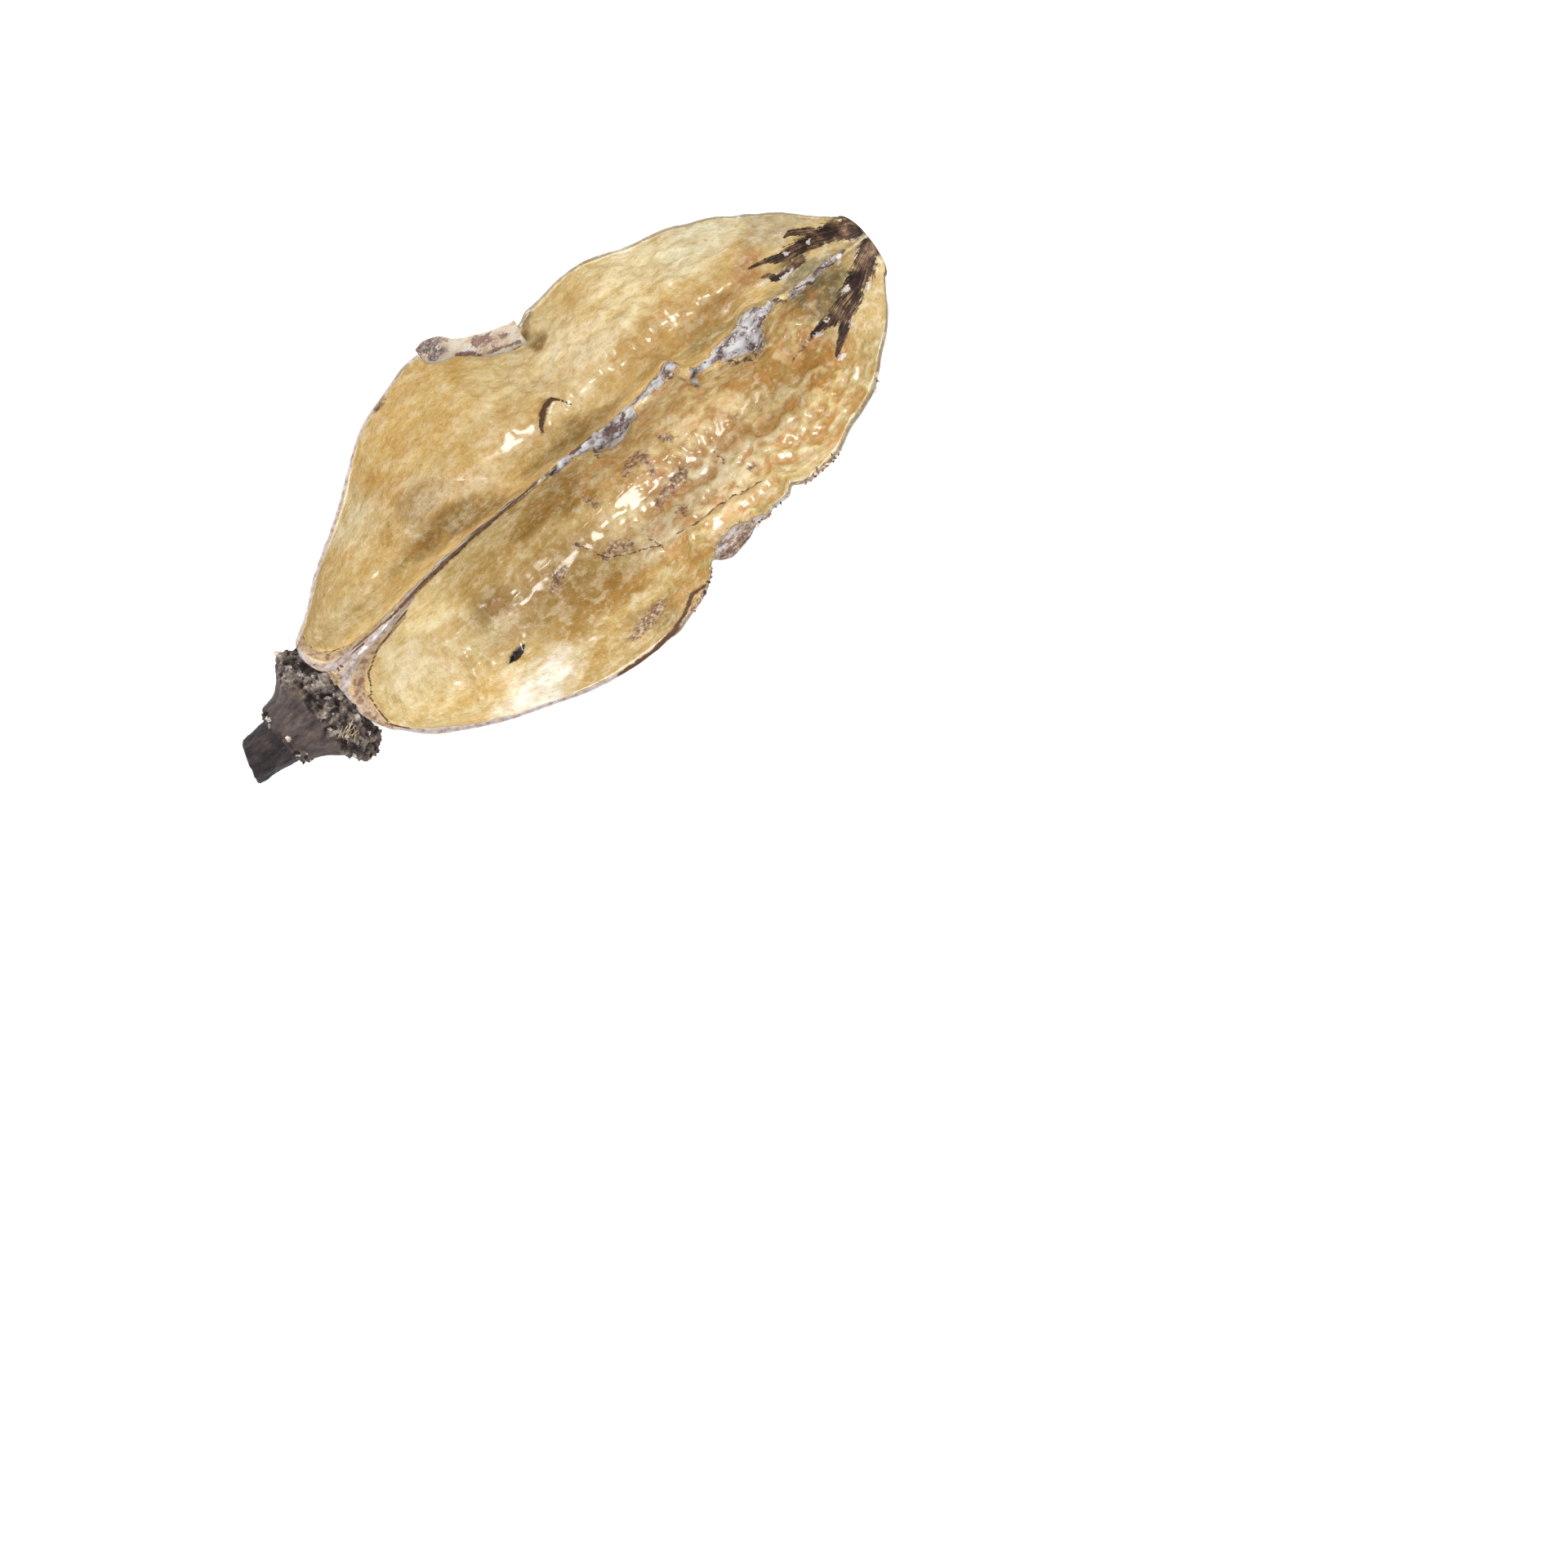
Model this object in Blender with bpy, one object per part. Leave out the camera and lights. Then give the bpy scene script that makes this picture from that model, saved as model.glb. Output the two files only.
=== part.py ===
"""Dried seed capsule, split open along its seams: two boat-shaped chambers side by side,
the thin partition that stands between them, a woody calyx and the stub of its stalk.
Built in millimetres along +X from stalk to tip, then set down on z = 0 and scaled to metres."""
import bpy
import bmesh
import math
import numpy as np

MM = 0.001
NAME = "split_seed_capsule"

# ---- sizes that drive the part, all in millimetres ----
BASE_X = 0.5              # flat foot of the capsule, where the calyx meets it
TIP = (68.8, 1.6, 6.1)    # the very point of the capsule
RIM_WALL = 0.7            # thickness of the husk along its open edge
PARTITION = 0.8           # thickness of the partition at its torn edge
STATIONS = 34             # cross-sections along the capsule
WALL_STEPS = 9            # points on each chamber wall
FACE_STEPS = 5            # points on each face of the partition
DIP = 0.12                # how far the lobes sag beside the crease, as a share of wall height
FLAP_WIDTH = 3.0          # the strip of husk rolled over on the left edge
FLAP_THICK = 1.6
FLAP_INSET = (1.0, 0.3)   # how far its middle lies inside the edge, and below it
FLAP_LEAN = 0.13          # how much further in it lies per mm towards the tip
HOLE = (16.25, -8.8, 2.1, 1.0, 8.0)   # exit hole: x, y, length, width, turn in degrees

# Open edge of the husk seen from above (x, y) and from the side (x, z).
LEFT_EDGE = [(0.5, 5.9), (4, 8.8), (10, 12.0), (17, 16.8), (22.5, 18.8), (27.5, 20.0), (31, 18.9),
             (36, 16.4), (43, 16.8), (50, 15.2), (56, 12.9), (61, 10.0), (65.5, 6.2), (68.3, 3.8)]
RIGHT_EDGE = [(0.5, -7.3), (4, -9.6), (9, -12.4), (16, -15.2), (24, -17.3), (30, -17.5),
              (36, -15.4), (42, -14.5), (50, -14.0), (56, -12.4), (60, -11.0), (63, -8.4),
              (66, -5.5), (68.3, -1.2)]
LEFT_HEIGHT = [(0.5, 8.0), (6, 9.2), (14, 11.4), (27, 13.0), (45, 12.0), (56, 10.4), (64, 8.4),
               (68.3, 6.6)]
RIGHT_HEIGHT = [(0.5, 8.0), (6, 8.4), (14, 9.2), (28, 10.2), (45, 9.8), (56, 9.2), (64, 7.8),
                (68.3, 6.6)]
# Crease of each chamber, at the partition's foot: where it runs and how high it lies.
LEFT_FLOOR = [(0.5, 4.0), (6, 4.6), (15, 5.6), (30, 6.2), (45, 6.4), (58, 5.0), (68.3, 2.7)]
RIGHT_FLOOR = [(0.5, -4.0), (8, -4.6), (15, -4.4), (30, -2.4), (45, -2.2), (58, -1.4), (68.3, 0.5)]
LEFT_DEPTH = [(0.5, 7.8), (1.6, 6.9), (4, 4.8), (10, 3.2), (20, 1.9), (44, 1.8), (54, 2.9),
              (62, 4.6), (68.3, 6.2)]
RIGHT_DEPTH = [(0.5, 7.8), (2.6, 6.9), (5, 5.2), (10, 3.9), (16, 2.6), (22, 1.9), (44, 1.8),
               (54, 2.9), (62, 4.6), (68.3, 6.2)]
# Torn edge of the partition.
RIDGE = [(0.5, 0.3), (5, 1.0), (15, 2.2), (25, 2.8), (35, 3.0), (38, 2.4), (43, 2.6), (46, 3.3),
         (49, 1.4), (55, 1.9), (68.3, 1.7)]
RIDGE_HEIGHT = [(0.5, 8.1), (8, 8.9), (18, 10.2), (32, 10.9), (46, 10.5), (52, 9.0), (60, 8.2),
                (68.3, 6.5)]
# Outside of the husk: its height under the creases, and in the groove between the lobes.
BELLY = [(0.5, 2.6), (4, 2.2), (10, 1.5), (16, 1.0), (46, 1.0), (54, 1.9), (62, 3.6),
         (66, 4.8), (68.3, 5.6)]
GROOVE = [(0.5, 3.0), (8, 2.8), (20, 3.2), (45, 3.2), (56, 4.0), (64, 5.0), (68.3, 5.8)]

# Calyx and stalk: x, middle y, middle z, half width, half height.
CALYX = [(-7.2, -0.8, 5.3, 2.6, 2.5), (-6.4, -0.7, 5.2, 3.3, 3.0), (-5.0, -0.7, 5.0, 4.1, 3.4),
         (-3.6, -0.5, 4.9, 5.2, 3.9), (-2.4, -0.6, 4.8, 6.2, 4.2), (-1.4, -0.9, 4.7, 6.6, 4.2),
         (-0.6, -1.0, 4.6, 6.3, 4.0), (0.2, -0.9, 4.6, 5.9, 3.7)]
STALK = [(-11.6, -0.9, 5.5, 1.9, 1.8), (-11.0, -0.9, 5.5, 2.2, 2.1), (-9.4, -0.8, 5.4, 2.25, 2.2),
         (-8.3, -0.8, 5.4, 2.35, 2.3), (-7.5, -0.8, 5.4, 2.5, 2.4)]
STALK_SLANT = 0.32        # the broken end leans: mm of length per mm of width


def smooth(points, x):
    """Monotone cubic through a few points: no overshoot between them."""
    px = np.array([p[0] for p in points], float)
    py = np.array([p[1] for p in points], float)
    h = np.diff(px)
    d = np.diff(py) / h
    m = np.zeros(len(px))
    m[0] = d[0]
    m[-1] = d[-1]
    for i in range(1, len(px) - 1):
        if d[i - 1] * d[i] > 0:
            w1 = 2 * h[i] + h[i - 1]
            w2 = h[i] + 2 * h[i - 1]
            m[i] = (w1 + w2) / (w1 / d[i - 1] + w2 / d[i])
    i = int(np.clip(np.searchsorted(px, x) - 1, 0, len(h) - 1))
    t = (x - px[i]) / h[i]
    a = (2 * t**3 - 3 * t**2 + 1) * py[i] + (t**3 - 2 * t**2 + t) * h[i] * m[i]
    b = (3 * t**2 - 2 * t**3) * py[i + 1] + (t**3 - t**2) * h[i] * m[i + 1]
    return float(a + b)


def wall(y0, z0, y1, z1):
    """Chamber wall from the crease (y0, z0) up to its edge (y1, z1): a shallow dip just
    outside the crease, then rising ever faster."""
    out = []
    for k in range(1, WALL_STEPS + 1):
        s = 1 - (1 - k / WALL_STEPS) ** 1.15
        rise = s**2.3 - DIP * math.sin(math.pi * s**0.7) * (1 - s)
        out.append((y0 + (y1 - y0) * s, z0 + (z1 - z0) * rise))
    return out


def section(x):
    """One closed cross-section: inside from the left edge to the right, then back underneath."""
    yl, zl = smooth(LEFT_EDGE, x), smooth(LEFT_HEIGHT, x)
    yr, zr = smooth(RIGHT_EDGE, x), smooth(RIGHT_HEIGHT, x)
    fl, dl = smooth(LEFT_FLOOR, x), smooth(LEFT_DEPTH, x)
    fr, dr = smooth(RIGHT_FLOOR, x), smooth(RIGHT_DEPTH, x)
    ry, rz = smooth(RIDGE, x), smooth(RIDGE_HEIGHT, x)
    belly, groove = smooth(BELLY, x), smooth(GROOVE, x)
    edge = min(RIM_WALL, 0.12 * (yl - yr))
    thick = min(PARTITION, 0.14 * (yl - yr))
    inside = wall(fl, dl, yl - edge, zl)[::-1]
    inside.append((fl, dl))
    for k in range(1, FACE_STEPS):
        s = k / FACE_STEPS
        inside.append((fl + (ry + thick / 2 - fl) * s**0.55, dl + (rz - dl) * s**1.25))
    inside.append((ry + thick / 2, rz - 0.1))
    inside.append((ry, rz))
    inside.append((ry - thick / 2, rz - 0.1))
    for k in range(FACE_STEPS - 1, 0, -1):
        s = k / FACE_STEPS
        inside.append((fr + (ry - thick / 2 - fr) * s**0.7, dr + (rz - dr) * s**1.25))
    inside.append((fr, dr))
    inside += wall(fr, dr, yr + edge, zr)
    under = [(yr + 0.1 * edge, zr - 0.3 * edge)]
    under += wall(fr, belly, yr, zr - edge)[::-1]
    under.append((fr, belly))
    middle = (0.5 * (fl + fr), groove)
    for a, b in (((fr, belly), middle), (middle, (fl, belly))):
        for s in (0.25, 0.5, 0.75, 1.0):
            rise = (1 - math.cos(math.pi * s)) / 2
            under.append((a[0] + (b[0] - a[0]) * s, a[1] + (b[1] - a[1]) * rise))
    under += wall(fl, belly, yl, zl - edge)
    under.append((yl - 0.1 * edge, zl - 0.3 * edge))
    return [(x, y, z) for y, z in inside + under]


def loft(rings, start, end):
    """Closed skin over rings of the same count, each end closed on one point."""
    bm = bmesh.new()
    rows = [[bm.verts.new(p) for p in ring] for ring in rings]
    n = len(rings[0])
    for a, b in zip(rows, rows[1:]):
        for k in range(n):
            bm.faces.new((a[k], a[(k + 1) % n], b[(k + 1) % n], b[k]))
    for row, point in ((rows[0], start), (rows[-1], end)):
        v = bm.verts.new(point)
        for k in range(n):
            bm.faces.new((row[k], row[(k + 1) % n], v))
    bmesh.ops.recalc_face_normals(bm, faces=bm.faces)
    if bm.calc_volume(signed=True) < 0:
        bmesh.ops.reverse_faces(bm, faces=bm.faces)
    return bm


def ellipse_ring(x, y, z, a, b, count, slant=0.0, power=1.0):
    """Upright oval ring across X; slant leans it so that one side sits further along."""
    ring = []
    for k in range(count):
        t = 2 * math.pi * k / count
        c, s = math.cos(t), math.sin(t)
        dy = a * math.copysign(abs(c) ** power, c)
        ring.append((x + slant * dy, y + dy, z + b * math.copysign(abs(s) ** power, s)))
    return ring


def material(name, colour, rough):
    m = bpy.data.materials.new(name)
    m.use_nodes = True
    shader = m.node_tree.nodes["Principled BSDF"]
    shader.inputs["Base Color"].default_value = (*colour, 1.0)
    shader.inputs["Roughness"].default_value = rough
    m.diffuse_color = (*colour, 1.0)
    return m


def piece(name, bm, mat, home):
    mesh = bpy.data.meshes.new(name)
    bm.to_mesh(mesh)
    bm.free()
    mesh.materials.append(mat)
    for poly in mesh.polygons:
        poly.use_smooth = True
    ob = bpy.data.objects.new(name, mesh)
    home.objects.link(ob)
    return ob


def boolean(target, tool, mode):
    mod = target.modifiers.new(tool.name, "BOOLEAN")
    mod.operation = mode
    mod.solver = "EXACT"
    mod.object = tool
    tool.hide_render = True
    tool.display_type = "WIRE"


def stations():
    """Close together at both ends, where the chambers curve quickly."""
    ends = BASE_X, 68.3
    out = []
    for k in range(STATIONS):
        u = k / (STATIONS - 1)
        u = 0.55 * u + 0.45 * (1 - math.cos(math.pi * u)) / 2
        out.append(ends[0] + (ends[1] - ends[0]) * u)
    return out


def capsule(home, tools):
    rings = [section(x) for x in stations()]
    first = rings[0]
    middle = (BASE_X, sum(p[1] for p in first) / len(first), 5.0)
    parchment = material("husk", (0.62, 0.44, 0.20), 0.45)
    husk = piece("capsule", loft(rings, middle, TIP), parchment, home)
    flap = piece("rolled_flap", rolled_flap(), parchment, tools)
    boolean(husk, flap, "UNION")
    x, y, length, width, turn = HOLE
    ring = []
    for k in range(16):
        t = 2 * math.pi * k / 16
        u, v = 0.5 * length * math.cos(t), 0.5 * width * math.sin(t) * abs(math.sin(t)) ** 0.3
        c, s = math.cos(math.radians(turn)), math.sin(math.radians(turn))
        ring.append((x + u * c - v * s, y + u * s + v * c))
    rings = [[(px, py, z) for px, py in ring] for z in (-1.0, 6.0)]
    hole = piece("exit_hole", loft(rings, (x, y, -1.0), (x, y, 6.0)), parchment, tools)
    boolean(husk, hole, "DIFFERENCE")
    return husk


def rolled_flap():
    """A short strip of the left edge, curled outward into a flattened roll."""
    rings = []
    xs = [27.4, 28.0, 29.2, 31.0, 33.0, 35.0, 36.1, 36.4]
    swell = [0.45, 0.8, 1.0, 1.05, 0.95, 0.95, 0.95, 0.7]
    for x, f in zip(xs, swell):
        y = smooth(LEFT_EDGE, x) - FLAP_INSET[0] - FLAP_LEAN * (x - xs[0])
        z = smooth(LEFT_HEIGHT, x) - FLAP_INSET[1]
        rings.append(ellipse_ring(x, y, z, 0.5 * FLAP_WIDTH * f, 0.5 * FLAP_THICK * f, 12))
    ends = []
    for ring, push in ((rings[0], -0.2), (rings[-1], 0.05)):
        x, y, z = (sum(p[i] for p in ring) / len(ring) for i in range(3))
        ends.append((x + push, y, z))
    return loft(rings, ends[0], ends[1])


def calyx(home):
    rings = [ellipse_ring(*row, 28) for row in CALYX]
    for ring, row in zip(rings, CALYX):
        lobes = max(0.0, min(1.0, (row[0] + 5.0) / 4.0)) * 0.22
        for k, p in enumerate(ring):
            t = 2 * math.pi * k / len(ring)
            f = 1 + lobes * 0.16 * math.sin(5 * t + 0.8) + lobes * 0.1 * math.sin(9 * t)
            ring[k] = (p[0], row[1] + (p[1] - row[1]) * f, row[2] + (p[2] - row[2]) * f)
    ends = [(row[0], row[1], row[2]) for row in (CALYX[0], CALYX[-1])]
    return piece("calyx", loft(rings, *ends), material("calyx_wood", (0.12, 0.10, 0.09), 0.8), home)


def stalk(home):
    count = len(STALK)
    rings = [ellipse_ring(*row, 20, slant=STALK_SLANT * (1 - k / (count - 1)))
             for k, row in enumerate(STALK)]
    ends = [(row[0], row[1], row[2]) for row in (STALK[0], STALK[-1])]
    return piece("stalk", loft(rings, *ends), material("stalk_wood", (0.07, 0.055, 0.055), 0.7), home)


def settle(shown, tools):
    """Middle of the whole part over the origin, its lowest point on z = 0, in metres."""
    low, high = np.full(3, 1e9), np.full(3, -1e9)
    graph = bpy.context.evaluated_depsgraph_get()
    for ob in shown:
        ev = ob.evaluated_get(graph)
        pts = np.array([v.co[:] for v in ev.to_mesh().vertices])
        ev.to_mesh_clear()
        low, high = np.minimum(low, pts.min(0)), np.maximum(high, pts.max(0))
    shift = np.array([(low[0] + high[0]) / 2, (low[1] + high[1]) / 2, low[2]])
    for ob in shown + tools:
        for v in ob.data.vertices:
            v.co = [(c - s) * MM for c, s in zip(v.co, shift)]
    print("size mm", (high - low).round(2), "shift mm", shift.round(4))


def main():
    for ob in list(bpy.data.objects):
        bpy.data.objects.remove(ob, do_unlink=True)
    home = bpy.data.collections.new(NAME)
    tools = bpy.data.collections.new("cutters")
    for c in (home, tools):
        bpy.context.scene.collection.children.link(c)
    shown = [capsule(home, tools), calyx(home), stalk(home)]
    settle(shown, list(tools.objects))


main()
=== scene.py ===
# %% [markdown]
# # A dried seed capsule, split open
#
# A fruit of about 80 mm that has dried, split along its seams and dropped its seeds. It lies on
# its back with both chambers open to the sky. This notebook builds its looks round the solid
# model: the husk, the torn partition, the rolled strip of husk, the calyx and the stalk.
#
# The first cell loads that solid model. Everything made later takes its place from it.

# %% Load the solid model
import math
import bpy
import numpy as np
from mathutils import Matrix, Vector


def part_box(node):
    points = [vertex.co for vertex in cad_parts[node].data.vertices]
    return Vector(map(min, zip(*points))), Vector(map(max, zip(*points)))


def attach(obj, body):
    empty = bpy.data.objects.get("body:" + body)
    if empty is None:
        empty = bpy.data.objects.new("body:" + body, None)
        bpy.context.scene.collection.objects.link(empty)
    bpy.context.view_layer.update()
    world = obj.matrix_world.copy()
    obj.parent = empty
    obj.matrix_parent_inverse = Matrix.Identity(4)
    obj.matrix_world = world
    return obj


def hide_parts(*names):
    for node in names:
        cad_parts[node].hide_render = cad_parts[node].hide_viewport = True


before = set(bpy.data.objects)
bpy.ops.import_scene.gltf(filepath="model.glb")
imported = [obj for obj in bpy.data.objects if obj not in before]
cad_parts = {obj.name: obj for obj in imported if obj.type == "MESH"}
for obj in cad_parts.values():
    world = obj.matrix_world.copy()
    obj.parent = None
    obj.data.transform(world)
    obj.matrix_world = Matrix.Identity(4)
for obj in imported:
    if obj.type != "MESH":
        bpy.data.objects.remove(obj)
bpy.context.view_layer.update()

print("nodes:", sorted(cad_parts))

# %% [markdown]
# ## Measures
#
# A fruit is easiest to think about in millimetres, measured from the foot of the husk: x runs
# from stalk to tip, y across, z up. One shift carries those measures into the model's frame. It
# is read from the husk's box, so that the pieces follow the solid model if it moves.

# %% Millimetres to the frame
MM = 0.001
HUSK_START = (0.5, -17.473, 0.3)     # lowest corner of the husk's box in fruit measures
SHIFT = np.array(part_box("capsule")[0]) / MM - HUSK_START


def to_frame(points):
    """Fruit measures in millimetres to metres in the frame."""
    return (np.asarray(points, float) + SHIFT) * MM


def placed(name, data):
    """A new object with this data, put in the scene."""
    ob = bpy.data.objects.new(name, data)
    bpy.context.scene.collection.objects.link(ob)
    return ob


print("shift, mm:", SHIFT.round(3))

# %% [markdown]
# ## Smooth lines through a few points
#
# Every outline here is a short list of points that a hand could take with callipers. The line
# between them should be smooth but never overshoot, or a rim would ripple. A monotone cubic does
# that: each point's slope is the harmonic mean of its neighbours' slopes.

# %% A monotone cubic


def curve(points, x):
    """Value at x, a number or an array, of the smooth line through the points."""
    px, py = np.array(points, float).T
    x = np.asarray(x, float)
    step = np.diff(px)
    slope = np.diff(py) / step
    at = np.zeros(len(px))
    at[0], at[-1] = slope[0], slope[-1]
    same = slope[:-1] * slope[1:] > 0
    before, after = np.where(same, slope[:-1], 1.0), np.where(same, slope[1:], 1.0)
    wa, wb = 2 * step[1:] + step[:-1], step[1:] + 2 * step[:-1]
    at[1:-1] = np.where(same, (wa + wb) / (wa / before + wb / after), 0.0)
    i = np.clip(np.searchsorted(px, x) - 1, 0, len(step) - 1)
    t = np.clip((x - px[i]) / step[i], 0.0, 1.0)
    low = (2 * t**3 - 3 * t**2 + 1) * py[i] + (t**3 - 2 * t**2 + t) * step[i] * at[i]
    high = (3 * t**2 - 2 * t**3) * py[i + 1] + (t**3 - t**2) * step[i] * at[i + 1]
    return low + high


def ramp(x, start, end):
    """0 before start, 1 after end, smooth between; the two may be in either order."""
    t = np.clip((np.asarray(x, float) - start) / (end - start), 0.0, 1.0)
    return t * t * (3 - 2 * t)


print("half way:", float(curve([(0, 0), (1, 2), (3, 3)], 2.0)))

# %% [markdown]
# ## Repeatable roughness
#
# Bumps, tears and stains need noise that is the same on every run. This is gradient noise on a
# lattice of fixed random directions. The size may differ along x, y and z, so that one call
# makes round bumps and another makes long fibres.

# %% Gradient noise
SEED_STEP = 19.19     # cells between one seed and the next
SPREAD = 1.7          # brings the noise to about -1 to 1
dice = np.random.default_rng(11)
DIRECTIONS = dice.normal(size=(256, 3))
DIRECTIONS /= np.linalg.norm(DIRECTIONS, axis=1)[:, None]
ORDER = dice.permutation(256)


def noise(points, size, seed=0):
    """Smooth noise of about -1 to 1; size is the spacing of its bumps in millimetres."""
    q = np.asarray(points, float) / np.asarray(size, float) + SEED_STEP * (seed + 1)
    cell = np.floor(q).astype(int)
    part = q - cell
    blend = part**3 * (part * (part * 6 - 15) + 10)
    total = np.zeros(q.shape[:-1])
    for dx in (0, 1):
        for dy in (0, 1):
            for dz in (0, 1):
                corner = np.array([dx, dy, dz])
                i, j, k = np.moveaxis((cell + corner) & 255, -1, 0)
                pick = ORDER[(ORDER[(ORDER[i] + j) & 255] + k) & 255]
                weight = np.prod(np.where(corner == 1, blend, 1 - blend), axis=-1)
                total += weight * ((part - corner) * DIRECTIONS[pick]).sum(-1)
    return total * SPREAD


def layered(points, size, octaves, seed=0):
    """Noise over noise, each layer half as large and half as strong."""
    size = np.asarray(size, float)
    layers = [noise(points, size / 2**k, seed + 7 * k) / 2**k for k in range(octaves)]
    return sum(layers) / 1.5


print("noise spread:", round(float(noise(dice.random((500, 3)) * 20, 1.0).std()), 3))

# %% [markdown]
# ## Outlines of the husk
#
# The husk is a skin stretched over cross-sections. Each section hangs between two edges, dips
# into two chambers and climbs the partition between them. These lists say where each of those
# landmarks runs along the fruit: first seen from above (x, y), then from the side (x, z).

# %% Landmarks along the fruit
LEFT_EDGE = [(0.5, 5.9), (2, 7.2), (4, 8.8), (8, 11.0), (12, 13.3), (15, 15.4), (17, 16.8),
             (19, 17.8), (22.5, 18.8), (26, 19.6), (28, 19.6), (29.5, 18.8), (31, 17.9),
             (32.5, 17.1), (34, 16.4), (36, 15.6), (37, 15.8), (38, 16.3), (40, 16.5), (43, 16.9),
             (45, 16.8), (47, 16.3), (50, 15.2), (52, 14.8), (54, 14.3), (56, 13.4), (58, 12.6),
             (60, 11.3), (63, 9.4), (64.5, 8.3), (66, 6.9), (67.3, 5.8), (68.3, 5.0)]
RIGHT_EDGE = [(0.5, -7.3), (2, -8.3), (4, -9.6), (6, -10.8), (9, -12.4), (12, -13.8), (16, -15.2),
              (20, -16.6), (24, -17.3), (27, -17.5), (30, -17.5), (32, -17.0), (35, -16.0),
              (36.3, -15.0), (37.3, -14.1), (38, -14.6), (39, -15.0), (41.5, -14.6), (43, -14.0),
              (44.3, -14.2), (45, -13.8), (47, -13.8), (48, -13.2), (48.5, -13.5), (50, -14.0),
              (52, -13.9), (54, -13.4), (56, -12.4), (58, -11.8), (60, -11.0), (61.5, -10.0),
              (63, -8.6), (65, -7.0), (66, -5.9), (67.5, -3.8), (68.3, -2.7)]
LEFT_HEIGHT = [(0.5, 8.0), (6, 9.2), (14, 11.4), (27, 13.0), (45, 12.0), (56, 10.4), (64, 8.4),
               (68.3, 6.6)]
RIGHT_HEIGHT = [(0.5, 8.0), (6, 8.4), (14, 9.2), (28, 10.2), (45, 9.8), (56, 9.2), (64, 7.8),
                (68.3, 6.6)]
LEFT_CREASE = [(0.5, 4.0), (6, 4.6), (15, 5.6), (30, 6.2), (45, 6.4), (58, 5.4), (68.3, 2.9)]
RIGHT_CREASE = [(0.5, -4.0), (8, -4.6), (15, -4.2), (30, -2.4), (45, -2.0), (58, -1.2),
                (68.3, 0.5)]
LEFT_DEPTH = [(0.5, 7.9), (1.1, 7.7), (1.9, 6.7), (4, 4.8), (10, 3.2), (20, 1.9), (44, 1.8),
              (54, 2.9), (62, 4.6), (68.3, 6.2)]
RIGHT_DEPTH = [(0.5, 7.9), (1.8, 7.8), (2.8, 6.9), (5, 5.2), (10, 3.9), (16, 2.6), (22, 1.9),
               (44, 1.8), (54, 2.9), (62, 4.6), (68.3, 6.2)]
RIDGE = [(0.5, 0.6), (5, 0.9), (10, 1.6), (15, 2.2), (20, 2.5), (25, 2.6), (30, 2.6), (34.5, 2.6),
         (36, 2.1), (38, 2.0), (39.5, 2.3), (43, 2.6), (44.8, 3.0), (45.8, 3.2), (46.6, 2.2),
         (47.4, 1.5), (49, 1.1), (51, 0.9), (53, 0.7), (54, 1.0), (55, 1.8), (57, 2.2),
         (60, 1.8), (68.3, 1.7)]
RIDGE_HEIGHT = [(0.5, 8.1), (8, 8.9), (18, 10.2), (32, 10.9), (44.5, 10.4), (45.8, 10.7),
                (46.8, 9.6), (48, 9.2), (52, 8.9), (60, 8.2), (68.3, 6.5)]
RIDGE_WIDTH = [(0.5, 1.8), (3, 1.2), (6, 0.7), (10, 0.5), (20, 0.4), (30, 0.5), (34.5, 0.6),
               (36, 1.2), (38.5, 1.0), (40, 0.6), (44, 0.5), (45.5, 0.8), (46.6, 0.6), (48, 0.6),
               (50, 1.4), (52, 1.9), (54, 2.0), (56, 1.6), (57, 0.6), (60, 0.5), (66, 0.5),
               (68.3, 0.4)]
BELLY = [(0.5, 2.6), (4, 2.2), (10, 1.5), (16, 1.0), (46, 1.0), (54, 1.9), (62, 3.6), (66, 4.8),
         (68.3, 5.6)]
GROOVE = [(0.5, 3.0), (8, 2.8), (20, 3.2), (45, 3.2), (56, 4.0), (64, 5.0), (68.3, 5.8)]
EDGE = [(0.5, 0.85), (5, 0.7), (12, 0.5), (30, 0.42), (68.3, 0.4)]   # thickness of the open edge
# How square each chamber is: a high power is flat below and steep at the rim.
LEFT_BOWL = [(0.5, 6.0), (3, 4.6), (8, 3.0), (16, 2.3), (30, 2.1), (68.3, 2.0)]
RIGHT_BOWL = [(0.5, 6.0), (3, 4.0), (8, 2.2), (14, 1.6), (20, 1.8), (28, 2.2), (68.3, 2.2)]
SAG = 0.12        # how far a chamber dips beside its crease, as a share of its wall's height
FOOT_X, LAST_X = 0.5, 68.3       # first and last section
TIP = (69.5, 1.6, 6.1)
FLOOR = 0.32      # the husk's underside goes no lower
print("husk is", LEFT_EDGE[8][1] - RIGHT_EDGE[8][1], "mm wide at x =", LEFT_EDGE[8][0])

# %% [markdown]
# ## One cross-section after another
#
# All sections have the same number of points, so joining each point to the same point of the
# next section gives a clean grid of four-sided faces. The rows are counted here once: left wall,
# left face of the partition, its torn crest, right face, right wall, and then back underneath.
# The grid also gives each point two surface coordinates, length and share of the width. Fibres
# drawn in those coordinates gather towards the tip and the foot, as they do on a real husk.

# %% The grid of the husk
STATIONS = 330       # sections along the fruit, before those that round the tip
TIP_RINGS = 8
WALL, FACE_L, CREST, FACE_R, RIM, UNDER, GROOVE_STEPS = 64, 18, 9, 20, 5, 22, 16
FACE_RISE = 1.25     # how the partition's faces climb: flat at the crease, steep at the crest


def shares(start, stop, count, whole=False):
    """A row of shares from start towards stop; the last is stop itself only if whole."""
    return np.linspace(start, stop, count, endpoint=whole)[None, :]


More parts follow.
